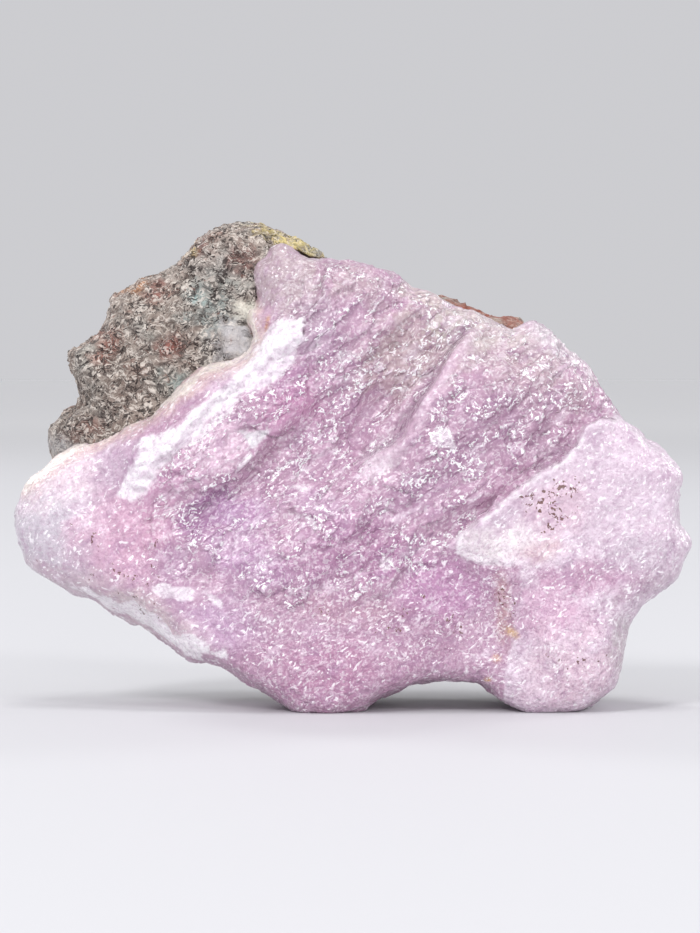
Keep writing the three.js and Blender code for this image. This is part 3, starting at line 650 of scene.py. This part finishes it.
def paint_marks(colours, points, wander, ragged, frayed, near_front):
    """The smaller white marks. Gives back how thick the glints lie, which gather on them and in fields."""
    x, _, z = points.T
    sparkle = smoothstep(-0.1, 0.5, noise(along_fibres(points, 2), 6, 37)) * 0.35
    for _, *place, strength in WHITE_MARKS:
        weight = patch_weight(x, z, wander * 2 + ragged * 0.3, place)
        weight = smoothstep(0.25, 0.65, weight + frayed * 0.12)
        whiten(colours, (252, 246, 251), weight * near_front * strength)
        sparkle = np.maximum(sparkle, weight)
    for place in SPARKLE_FIELDS:
        sparkle = np.maximum(sparkle, patch_weight(x, z, wander * 2, place) * 0.8)
    return sparkle


def paint_aragonite(piece):
    points = read_points(piece)
    x, y, z = points.T
    broken, _, lobe, bevel = aragonite_zones(points, read_normals(piece))
    wander = fractal(along_fibres(points, 1.7), 6, 31, 3) * 0.30
    wander += mosaic(along_fibres(points, 1.6), 2.2, 32) * 0.16
    ragged = noise(points, 3, 35) * 0.9 + noise(points, 1.2, 36) * 0.45
    frayed = noise(along_fibres(points, 2.4), 1.5, 38) * 1.6 + noise(points, 0.9, 39) * 0.6
    near_front = 1 - smoothstep(*ARAGONITE_FRONT_PAINT, y)

    colours = np.tile(mineral(LILAC), (len(x), 1))
    mix_in(colours, HIDDEN_LILAC, 1 - near_front)
    lay_mottles(colours, points, HIDDEN_MOTTLES, 2, 1 - near_front)
    lay_patches(colours, x, z, wander, ARAGONITE_PATCHES, near_front)
    colours *= 1 - (smoothstep(*BODY_START, x) * near_front)[:, None] * np.array(BODY_DEPTH)
    mix_in(colours, LOBE_PINK, lobe * near_front * 0.95)
    lay_patches(colours, x, z, wander, LOBE_PATCHES, lobe * near_front)
    paint_ledge_and_crest(colours, points, ragged, lobe, bevel, near_front)
    paint_selvage(colours, x, z, ragged)
    scar = paint_scar(colours, points, ragged, frayed, near_front)
    lay_patches(colours, x, z, wander, STAINS, near_front)
    sparkle = paint_marks(colours, points, wander, ragged, frayed, near_front)

    specks = np.zeros(len(x))
    for place, strength in SPECK_FIELDS:
        specks = np.maximum(specks, patch_weight(x, z, wander, place) * strength)
    granular = 0.30 + 0.25 * smoothstep(36, 24, z) * smoothstep(-26, -14, x) - 0.10 * smoothstep(-34, -46, x)
    store_colour(piece, "tint", colours)
    store_number(piece, "sparkle", sparkle * (1 - bevel) * near_front)
    store_number(piece, "specks", specks * near_front)
    store_number(piece, "glassy", broken * (1 - 0.6 * scar))
    store_number(piece, "grainy", np.clip(granular - 0.08 * lobe, 0, 1))
    store_number(piece, "frost", np.maximum(scar, lobe * 0.3) * near_front)


# Matrix: shape and colour.

# Places where the rock has little speckle: place x and z, half length, half width and angle, then how clean.
CLEAN_FIELDS = [
    ((-8, 83, 10, 4, -28), 0.25),
    ((24, 70, 13, 6, -22), 0.8),
    ((-51.5, 45.6, 5, 2.6, -20), 0.7),
]


def rock_spots(points):
    """Where the rock has little speckle, and where a pale crystal stands in it."""
    x, z = points[:, 0], points[:, 2]
    front = 1 - smoothstep(*ROCK_CRYSTALS, points[:, 1])
    ragged = noise(points, 1.6, 57) * 0.8
    block = smoothstep(-0.3, 0.3, inside(x, z, PALE_BLOCK) + ragged * 0.5)
    chip = smoothstep(-0.3, 0.3, inside(x, z, CREAM_CHIP) + ragged * 0.5)
    crystals = np.maximum(block, chip) * front
    clean = crystals
    for place, share in CLEAN_FIELDS:
        clean = np.maximum(clean, patch_weight(x, z, ragged * 0.3, place) * share)
    return clean, crystals


def draw_to(points, neighbour):
    """Points near the neighbour lean on to it, so that no groove stays open between the two."""
    tree = surface_tree(neighbour)
    moved = points.copy()
    for i, point in enumerate(points):
        place, normal, _, distance = tree.find_nearest(point, CONTACT_REACH)
        if place is None or normal.dot(Vector(point) - place) < 0:
            continue
        moved[i] += (np.array(place) - point) * (1 - smoothstep(CONTACT_TOUCH, CONTACT_REACH, distance))
    return moved


def shape_matrix(piece, neighbour):
    """Knobs, grain, grooves and pits, a broken back, and a rim that closes on the neighbour."""
    points = read_points(piece)
    normals = read_normals(piece)
    x, y, z = points.T
    clean, crystals = rock_spots(points)
    knobs = fractal(points, 7, 41, 3) * 0.55
    grain = facets(points, 2.2, 42) * 0.24 + facets(points, 1.1, 43) * 0.22
    worm_points = points + np.stack([noise(points, 2.5, seed) for seed in (44, 45, 46)], axis=1) * 1.1
    worms = np.abs(noise(worm_points * (0.7, 1, 1.4), 1.9, 47))
    grooves = 1 - smoothstep(0.0, 0.14, worms)
    pits = smoothstep(0.25, 0.55, noise(points, 1.8, 48)) * smoothstep(-0.25, 0.35, fractal(points, 6, 58, 2))
    height = knobs + grain * (1 - 0.5 * clean) - (grooves * 0.40 + pits * 0.60) * (1 - clean)
    broad = fractal(points, 17, 59, 2) * 2.1 + facets(points, 13, 60) * 0.45 + facets(points, 5.5, 64) * 0.35
    broad = np.clip(broad - ROCK_BACK_SINK, *ROCK_BACK_RANGE) * smoothstep(*ROCK_BROKEN_BACK, y)
    moved = points + normals * (height + broad)[:, None]

    facing = smoothstep(0.1, 0.6, -normals[:, 1])
    fillet = 1 - smoothstep(0.8, 4.5, distance_to_line(x, z, CONTACT_LINE))
    fillet *= 1 - smoothstep(*ROCK_FILLET, y)
    moved[:, 1] -= crystals * CRYSTAL_LIFT + facing * CONTACT_CLOSE
    moved += fillet[:, None] * np.array(CONTACT_LEAN)
    moved = draw_to(moved, neighbour)
    for *place, lift in RIM_LIFTS:
        moved[:, 2] += lift * patch_weight(x, z, 0, place)
    write_points(piece, moved)
    return grooves, pits


GREY_ROCK = (185, 169, 158)
GROOVE_BROWN = (74, 56, 52)
# Mottles: colour, size, seed, range of the noise in which they come up, strength.
ROCK_MOTTLES = [
    ((158, 144, 136), 7, 52, -0.1, 0.5, 0.7),
    ((208, 200, 192), 5, 53, 0.0, 0.5, 0.6),
    ((174, 130, 114), 3.4, 54, 0.2, 0.5, 0.6),
    ((184, 192, 186), 8, 55, 0.2, 0.6, 0.5),
]
BACK_MOTTLES = [
    ((160, 104, 88), 11, 65, 0.12, 0.5, 0.7),
    ((214, 196, 150), 9, 66, 0.28, 0.6, 0.75),
    ((128, 116, 112), 14, 67, 0.05, 0.5, 0.6),
    ((216, 212, 206), 7, 68, 0.15, 0.5, 0.7),
]
# How far the patches wander off their places behind the front, in millimetres.
DRIFT = 6
MATRIX_PATCHES = [
    ("dusky foot", -45, 54, 15, 8, 30, (150, 134, 124), 0.7),
    ("pale top", -24, 79, 9, 5, 0, (206, 193, 186), 0.5),
    ("teal grey", -24, 70, 6, 8, 0, (156, 169, 166), 0.8),
    ("teal by the contact", -31, 57.5, 4, 3, 0, (152, 168, 164), 0.85),
    ("teal white spot", -26.4, 72.3, 1.5, 1.1, -40, (206, 234, 230), 0.9),
    ("rust centre", -31.5, 63.5, 2.4, 2.2, 0, (178, 92, 78), 0.95),
    ("rust left", -43, 64, 4, 3, 20, (168, 106, 92), 0.85),
    ("rust top", -27, 82, 3, 2.4, 60, (146, 78, 68), 0.9),
    ("rust top middle", -19, 79.5, 2.6, 3.6, 0, (140, 80, 70), 0.85),
    ("orange spot", -37.5, 75.4, 2.4, 1.3, 30, (204, 140, 92), 0.95),
    ("rust upper left", -34, 73.5, 2.6, 2, 0, (158, 94, 82), 0.8),
    ("rust low left", -47, 48.6, 7, 2, 25, (132, 86, 76), 0.7),
    ("white foot", -51.5, 45.6, 5, 2.6, -20, (206, 203, 203), 0.95),
    ("yellow crust", -10, 83.4, 9, 3.0, -29, (244, 222, 138), 1.0),
    ("yellow spot", -28, 80.8, 1.6, 1, 0, (222, 192, 120), 0.9),
    ("glassy block", -20, 65, 5, 4.6, 0, (214, 210, 212), 1.0),
    ("red rim", 24, 70, 13, 5, -22, (166, 86, 66), 1.0),
]


def paint_matrix(piece, grooves, pits):
    points = read_points(piece)
    x, y, z = points.T
    wander = fractal(points, 3, 51, 3) * 0.55 + mosaic(points, 1.2, 56) * 0.25
    near_front = 1 - smoothstep(*ROCK_FRONT_PAINT, y)
    drift = smoothstep(*ROCK_DRIFT, y) * DRIFT
    colours = np.tile(mineral(GREY_ROCK), (len(x), 1))
    lay_mottles(colours, points, ROCK_MOTTLES, 3, 1)
    lay_mottles(colours, points, BACK_MOTTLES, 3, 1 - near_front)
    patch_x = x + noise(points, 5, 74) * drift
    patch_z = z + noise(points, 5, 75) * drift
    lay_patches(colours, patch_x, patch_z, wander, MATRIX_PATCHES, near_front)
    clean, _ = rock_spots(points)
    chip = smoothstep(-0.3, 0.3, inside(x, z, CREAM_CHIP) + wander * 0.4)
    whiten(colours, (246, 240, 226), chip * near_front)
    mix_in(colours, GROOVE_BROWN, np.maximum(grooves * 0.8, pits * 0.85) * (1 - clean))
    store_number(piece, "clean", clean)
    store_colour(piece, "tint", colours)


# Materials.

class Nodes:
    """Short calls for building one material's node tree."""

    def __init__(self, name):
        self.material = bpy.data.materials.new(name)
        self.material.use_nodes = True
        self.tree = self.material.node_tree
        self.shader = self.tree.nodes["Principled BSDF"]

    def add(self, kind, inputs=(), **settings):
        node = self.tree.nodes.new(kind)
        for key, value in settings.items():
            setattr(node, key, value)
        for key, value in dict(inputs).items():
            self.put(node.inputs[key], value)
        return node

    def put(self, socket, value):
        if isinstance(value, bpy.types.NodeSocket):
            self.tree.links.new(value, socket)
        else:
            socket.default_value = value

    def surface(self, name, value):
        """Gives the material's shader a number, a colour or what another node gives."""
        self.put(self.shader.inputs[name], value)

    def math(self, operation, first, second=0.0):
        return self.add("ShaderNodeMath", {0: first, 1: second}, operation=operation).outputs[0]

    def plus(self, first, second):
        return self.math("ADD", first, second)

    def minus(self, first, second):
        return self.math("SUBTRACT", first, second)

    def times(self, first, second):
        return self.math("MULTIPLY", first, second)

    def vector(self, operation, first, second=(0, 0, 0)):
        node = self.add("ShaderNodeVectorMath", {0: first, 1: second}, operation=operation)
        return node.outputs["Value"] if operation == "DOT_PRODUCT" else node.outputs["Vector"]

    def number(self, name):
        """What store_number keeps under this name."""
        return self.add("ShaderNodeAttribute", attribute_name=name).outputs["Fac"]

    def colour(self, name):
        """What store_colour keeps under this name."""
        return self.add("ShaderNodeAttribute", attribute_name=name).outputs["Color"]

    def points(self):
        """Places on the object in millimetres."""
        place = self.add("ShaderNodeTexCoord").outputs["Object"]
        return self.vector("MULTIPLY", place, (1 / MM, 1 / MM, 1 / MM))

    def turned(self, points, stretch):
        """Places turned and squeezed along the fibres, so that textures run with them."""
        node = self.add("ShaderNodeMapping", {"Vector": points, "Rotation": (0, FIBRE_ANGLE, 0)})
        return self.vector("MULTIPLY", node.outputs[0], (1 / stretch, 1, 1))

    def noise(self, points, size, detail=2.0, rough=0.5, warp=0.0):
        """Noise with lumps about size millimetres across, mostly from 0.3 to 0.7."""
        node = self.add("ShaderNodeTexNoise", {"Vector": points, "Scale": 1 / size, "Detail": detail,
                                               "Roughness": rough, "Distortion": warp})
        return node.outputs["Fac"]

    def cells(self, points, size):
        return self.add("ShaderNodeTexVoronoi", {"Vector": points, "Scale": 1 / size})

    def lottery(self, cells):
        """A random number from 0 to 1 for each cell."""
        return self.add("ShaderNodeSeparateColor", {"Color": cells.outputs["Color"]}).outputs["Red"]

    def warped(self, points, size, detail, reach):
        """Places pushed about by up to reach, so that lines drawn in them curl."""
        node = self.add("ShaderNodeTexNoise", {"Vector": points, "Scale": 1 / size, "Detail": detail})
        push = self.vector("MULTIPLY", node.outputs["Color"], (reach, reach, reach))
        return self.vector("ADD", points, push)

    def curls(self, points, size, width, core):
        """Thin curled lines, where a noise passes its middle."""
        ring = self.math("ABSOLUTE", self.minus(self.noise(points, size, 1, 0.5), 0.5))
        return self.ramp(ring, width, core)

    def tilts(self, points, size):
        """Flat cells that each lean their own way, as a height in millimetres."""
        cell = self.cells(points, size)
        across = self.vector("SUBTRACT", points, cell.outputs["Position"])
        lean = self.vector("SUBTRACT", cell.outputs["Color"], (0.5, 0.5, 0.5))
        return self.vector("DOT_PRODUCT", across, lean)

    def ramp(self, value, low, high):
        """0 at low and 1 at high, whichever of the two is the greater."""
        node = self.add("ShaderNodeMapRange", {"Value": value, "From Min": low, "From Max": high},
                        interpolation_type="SMOOTHSTEP")
        return node.outputs[0]

    def mix(self, share, first, second):
        node = self.add("ShaderNodeMix", data_type="RGBA")
        self.put(node.inputs[0], share)
        self.put(node.inputs[6], first)
        self.put(node.inputs[7], second)
        return node.outputs[2]

    def over(self, base, mask, strength, colour):
        """An sRGB colour laid over base where mask is high. The strength may be a mask too."""
        return self.mix(self.times(mask, strength), base, rgba(colour))

    def bump(self, height, strength, normal=None):
        inputs = {"Height": height, "Distance": MM, "Strength": strength}
        if normal is not None:
            inputs["Normal"] = normal
        return self.add("ShaderNodeBump", inputs).outputs[0]


def rgba(colour):
    return (*linear(colour), 1.0)


CRYSTAL_SURFACE = {
    "Coat Weight": 0.4,
    "Coat Roughness": 0.12,
    "IOR": 1.6,
    "Subsurface Weight": 0.2,
    "Subsurface Radius": (1.0, 0.85, 1.0),
    "Subsurface Scale": 1.8 * MM,
}


def crinkled_colour(n, p, crinkle, lively, grainy):
    """Soft clouds, crinkles with painted shade in their low parts and a painted highlight on their tops, and
    granules.
    """
    clouds = n.noise(n.turned(p, 2.2), 2.8, 3, 0.6)
    granules = n.noise(p, 0.40, 1, 0.5)
    base = n.colour("tint")
    base = n.over(base, n.ramp(clouds, 0.54, 0.72), 0.42, (240, 224, 238))
    base = n.over(base, n.ramp(clouds, 0.47, 0.30), 0.45, (168, 128, 162))
    # Painted highlight on the crinkles' tops and painted shade in their hollows, from the noise that also
    # gives their bumps.
    base = n.over(base, n.ramp(crinkle, 0.53, 0.68), n.times(lively, 0.62), (246, 232, 244))
    base = n.over(base, n.ramp(crinkle, 0.48, 0.34), n.times(lively, 0.65), (146, 106, 140))
    base = n.over(base, n.ramp(granules, 0.58, 0.66), n.times(grainy, 0.5), (240, 218, 234))
    return n.over(base, n.ramp(granules, 0.43, 0.34), n.times(grainy, 0.75), (158, 114, 144))


def glint_colour(n, base, p, curled, cluster, glassy, grainy):
    """Painted glints: white squiggles, thick where glints cluster and faint elsewhere, and short white
    strokes on the skin as painted highlights, with darker dots on the skin.
    """
    broken_up = n.ramp(n.noise(p, 0.8, 1, 0.5), 0.50, 0.56)
    uneven = n.plus(n.times(n.ramp(n.noise(p, 3.4, 2, 0.6), 0.44, 0.62), 0.55), 0.18)
    faint = n.math("MAXIMUM", n.times(glassy, 0.32), n.times(grainy, uneven))
    bright = n.math("MAXIMUM", cluster, faint)
    # The white squiggles are painted glints.
    squiggle = n.times(n.times(n.curls(curled, 0.62, 0.105, 0.045), broken_up), bright)
    base = n.over(base, squiggle, 0.95, (255, 252, 255))

    skin = n.minus(1.0, glassy)
    # Short white strokes on the skin: painted highlights.
    drops = n.noise(n.vector("MULTIPLY", curled, (0.75, 1, 1)), 0.55, 1, 0.5)
    skin_glints = n.times(n.ramp(drops, 0.615, 0.66), n.ramp(n.noise(p, 2.6, 2, 0.5), 0.36, 0.56))
    base = n.over(base, n.times(skin_glints, skin), 0.75, (255, 250, 254))
    return n.over(base, n.ramp(drops, 0.40, 0.34), n.times(skin, 0.35), (178, 140, 168))


def speck_colour(n, base, p, warped):
    """Ragged brown specks, in some cells of the fields that have them."""
    specks = n.number("specks")
    chosen = n.math("LESS_THAN", n.lottery(n.cells(warped, 1.7)), n.times(specks, 0.62))
    spot = n.ramp(n.plus(n.noise(p, 0.75, 2, 0.65), n.times(specks, 0.06)), 0.600, 0.625)
    return n.over(base, n.times(chosen, spot), 0.92, (98, 52, 38))


def aragonite_relief(n, p, curled, crinkle, lively, glassy):
    """Relief below the mesh: leaning crystal faces and crinkles where it broke, sugary grains on the skin."""
    leaning = n.times(n.tilts(curled, 1.5), n.times(glassy, 0.55))
    normal = n.bump(n.plus(leaning, n.times(crinkle, n.times(lively, 1.15))), 0.75)
    sugar = n.plus(n.tilts(p, 0.6), n.times(n.noise(p, 0.5, 2, 0.6), 0.35))
    n.surface("Normal", n.bump(sugar, n.minus(0.5, n.times(glassy, 0.38)), normal))
    glints = n.times(n.plus(n.tilts(curled, 0.95), n.times(crinkle, 0.5)), lively)
    n.surface("Coat Normal", n.bump(glints, 1.0))


def aragonite_material():
    n = Nodes("lilac_aragonite")
    p = n.points()
    warped = n.warped(p, 3.2, 1.0, 2.4)
    curled = n.turned(warped, 1.5)
    glassy = n.number("glassy")
    grainy = n.number("grainy")
    field = n.plus(n.noise(n.turned(p, 2.2), 2.6, 2, 0.6), n.times(n.number("sparkle"), 0.11))
    cluster = n.times(n.ramp(field, 0.50, 0.61), glassy)
    lively = n.math("MAXIMUM", n.plus(n.times(cluster, 0.75), n.times(glassy, 0.22)), grainy)
    crinkle = n.noise(curled, 0.95, 2, 0.6)

    base = crinkled_colour(n, p, crinkle, lively, grainy)
    base = glint_colour(n, base, p, curled, cluster, glassy, grainy)
    n.surface("Base Color", speck_colour(n, base, p, warped))
    aragonite_relief(n, p, curled, crinkle, lively, glassy)

    rough = n.minus(0.30, n.times(glassy, 0.18))
    rough = n.plus(rough, n.times(n.number("frost"), 0.15))
    rough = n.plus(rough, n.times(n.noise(p, 1.6), 0.05))
    n.surface("Roughness", rough)
    for name, value in CRYSTAL_SURFACE.items():
        n.surface(name, value)
    return n.material


def matrix_material():
    """Speckled rock: fine light and dark grain, dark hollows, light fibres, cracks and a breath of rust."""
    n = Nodes("altered_rock")
    p = n.points()
    warped = n.warped(p, 2.4, 2.0, 3.2)
    brushed = n.vector("MULTIPLY", warped, (0.62, 1, 1.25))
    busy = n.minus(1.0, n.times(n.number("clean"), 0.75))
    fine = n.noise(brushed, 0.42, 3, 0.7)
    lumps = n.noise(p, 1.5, 2, 0.5)
    field = n.ramp(n.noise(p, 3.0, 2, 0.5), 0.36, 0.60)
    rust = n.noise(p, 1.6, 4, 0.7, 0.6)

    dashes = n.cells(n.vector("MULTIPLY", warped, (0.45, 1, 1.3)), 0.42)
    chosen = n.math("LESS_THAN", n.lottery(dashes), n.plus(n.times(field, 0.26), 0.05))
    hollow = n.times(chosen, n.ramp(dashes.outputs["Distance"], 0.50, 0.30))
    strokes = []
    for drawn, size, width in ((brushed, 0.70, 0.11), (n.turned(warped, 1.8), 0.60, 0.12)):
        gate = n.ramp(n.noise(drawn, 1.1, 1, 0.5), 0.50, 0.54)
        strokes.append(n.times(n.times(n.curls(drawn, size, width, width * 0.45), gate), busy))
    fibre, crack = strokes
    crack = n.times(crack, n.plus(n.times(field, 0.6), 0.4))

    base = n.colour("tint")
    base = n.over(base, n.ramp(fine, 0.50, 0.64), n.times(busy, 0.40), (226, 215, 204))
    base = n.over(base, n.ramp(fine, 0.46, 0.34), n.times(busy, 0.50), (104, 88, 80))
    base = n.over(base, n.ramp(lumps, 0.45, 0.30), n.times(busy, 0.45), (112, 95, 86))
    base = n.over(base, fibre, 0.58, (240, 230, 220))
    base = n.over(base, crack, 0.85, (46, 33, 31))
    base = n.over(base, hollow, n.times(busy, 0.9), (40, 28, 27))
    base = n.over(base, n.ramp(rust, 0.60, 0.68), 0.45, (140, 86, 70))
    n.surface("Base Color", base)

    height = n.plus(n.times(fine, 0.5), n.times(lumps, 0.7))
    height = n.minus(height, n.times(hollow, 0.3))
    height = n.minus(height, n.times(crack, 0.35))
    n.surface("Normal", n.bump(height, 0.8))
    n.surface("Roughness", n.plus(n.times(fine, 0.4), 0.40))
    return n.material


# The two pieces.

def finish_piece(piece, node, material):
    shade_smooth(piece)
    piece.data.materials.clear()
    piece.data.materials.append(material)
    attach(piece, "root")
    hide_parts(node)


def make_aragonite():
    piece = fine_copy("aragonite", ARAGONITE_CELL, ARAGONITE_SMOOTHING)
    shape_aragonite(piece)
    points = read_points(piece)
    thin_out(piece, ARAGONITE_TRIANGLES, 1 - smoothstep(*ARAGONITE_FULL_MESH, points[:, 1]))
    paint_aragonite(piece)
    finish_piece(piece, "aragonite", aragonite_material())
    return piece


def make_matrix(neighbour):
    piece = fine_copy("matrix", MATRIX_CELL, MATRIX_SMOOTHING)
    grooves, pits = shape_matrix(piece, neighbour)
    paint_matrix(piece, grooves, pits)
    points = read_points(piece)
    thin_out(piece, MATRIX_TRIANGLES, smoothstep(*ROCK_FULL_MESH, points[:, 1]))
    finish_piece(piece, "matrix", matrix_material())


# Stage, in metres and watts. The lens and its sensor are in millimetres.

CAMERA_ELEVATION = math.radians(1.5)
CAMERA_DISTANCE = 0.694
LENS = 150
SENSOR_WIDTH = 36
CLIP_START = 0.01
AIM = Vector((0.0, -0.003, 0.0425))
LIGHT_AIM = Vector((0, 0, 0.04))
FLOOR_SIZE = 30
FLOOR_GREY = (206, 206, 209)
# The floor pales over this range of distance, so that no line shows where it ends.
FLOOR_PALES = (0.8, 3.5)
WORLD_GREY = (226, 226, 230)
WORLD_STRENGTH = 0.80
# Name, place, size and power of each light.
LIGHTS = [
    ("key_left", (-0.9, -1.3, 1.3), 0.50, 15.5),
    ("key_right", (1.2, -1.2, 0.9), 0.42, 8.0),
    ("front", (0.15, -1.9, 0.45), 0.36, 5.0),
    ("top", (0.1, -0.1, 1.8), 0.60, 7.5),
    ("back_left", (-1.2, 1.3, 1.0), 0.45, 9),
    ("back_right", (1.3, 1.1, 0.8), 0.45, 7),
]


def make_floor():
    bpy.ops.mesh.primitive_plane_add(size=FLOOR_SIZE, location=(0, 0, 0))
    floor = bpy.context.object
    floor.name = "floor"
    n = Nodes("pale_floor")
    place = n.add("ShaderNodeTexCoord").outputs["Object"]
    distance = n.add("ShaderNodeVectorMath", {0: place}, operation="LENGTH").outputs["Value"]
    far = n.ramp(distance, *FLOOR_PALES)
    n.surface("Base Color", n.mix(far, rgba(FLOOR_GREY), rgba((255, 255, 255))))
    n.surface("Roughness", 0.6)
    floor.data.materials.append(n.material)


def make_world():
    world = bpy.data.worlds.new("studio")
    bpy.context.scene.world = world
    world.use_nodes = True
    background = world.node_tree.nodes["Background"]
    background.inputs["Color"].default_value = rgba(WORLD_GREY)
    background.inputs["Strength"].default_value = WORLD_STRENGTH


def make_light(name, place, size, power):
    data = bpy.data.lights.new(name, "AREA")
    data.shape = "DISK"
    data.size = size
    data.energy = power
    light = bpy.data.objects.new(name, data)
    light.location = place
    light.visible_camera = False
    aim = LIGHT_AIM - Vector(place)
    light.rotation_mode = "QUATERNION"
    light.rotation_quaternion = aim.to_track_quat("-Z", "Y")
    bpy.context.scene.collection.objects.link(light)


def make_camera():
    data = bpy.data.cameras.new("camera")
    data.lens = LENS
    data.sensor_width = SENSOR_WIDTH
    data.clip_start = CLIP_START
    camera = bpy.data.objects.new("camera", data)
    back = Vector((0, -math.cos(CAMERA_ELEVATION), math.sin(CAMERA_ELEVATION)))
    camera.location = AIM + back * CAMERA_DISTANCE
    camera.rotation_mode = "QUATERNION"
    camera.rotation_quaternion = (-back).to_track_quat("-Z", "Y")
    bpy.context.scene.collection.objects.link(camera)
    bpy.context.scene.camera = camera


make_camera()
make_world()
make_floor()
for light in LIGHTS:
    make_light(*light)
bpy.context.scene.view_settings.view_transform = "Standard"
make_matrix(make_aragonite())
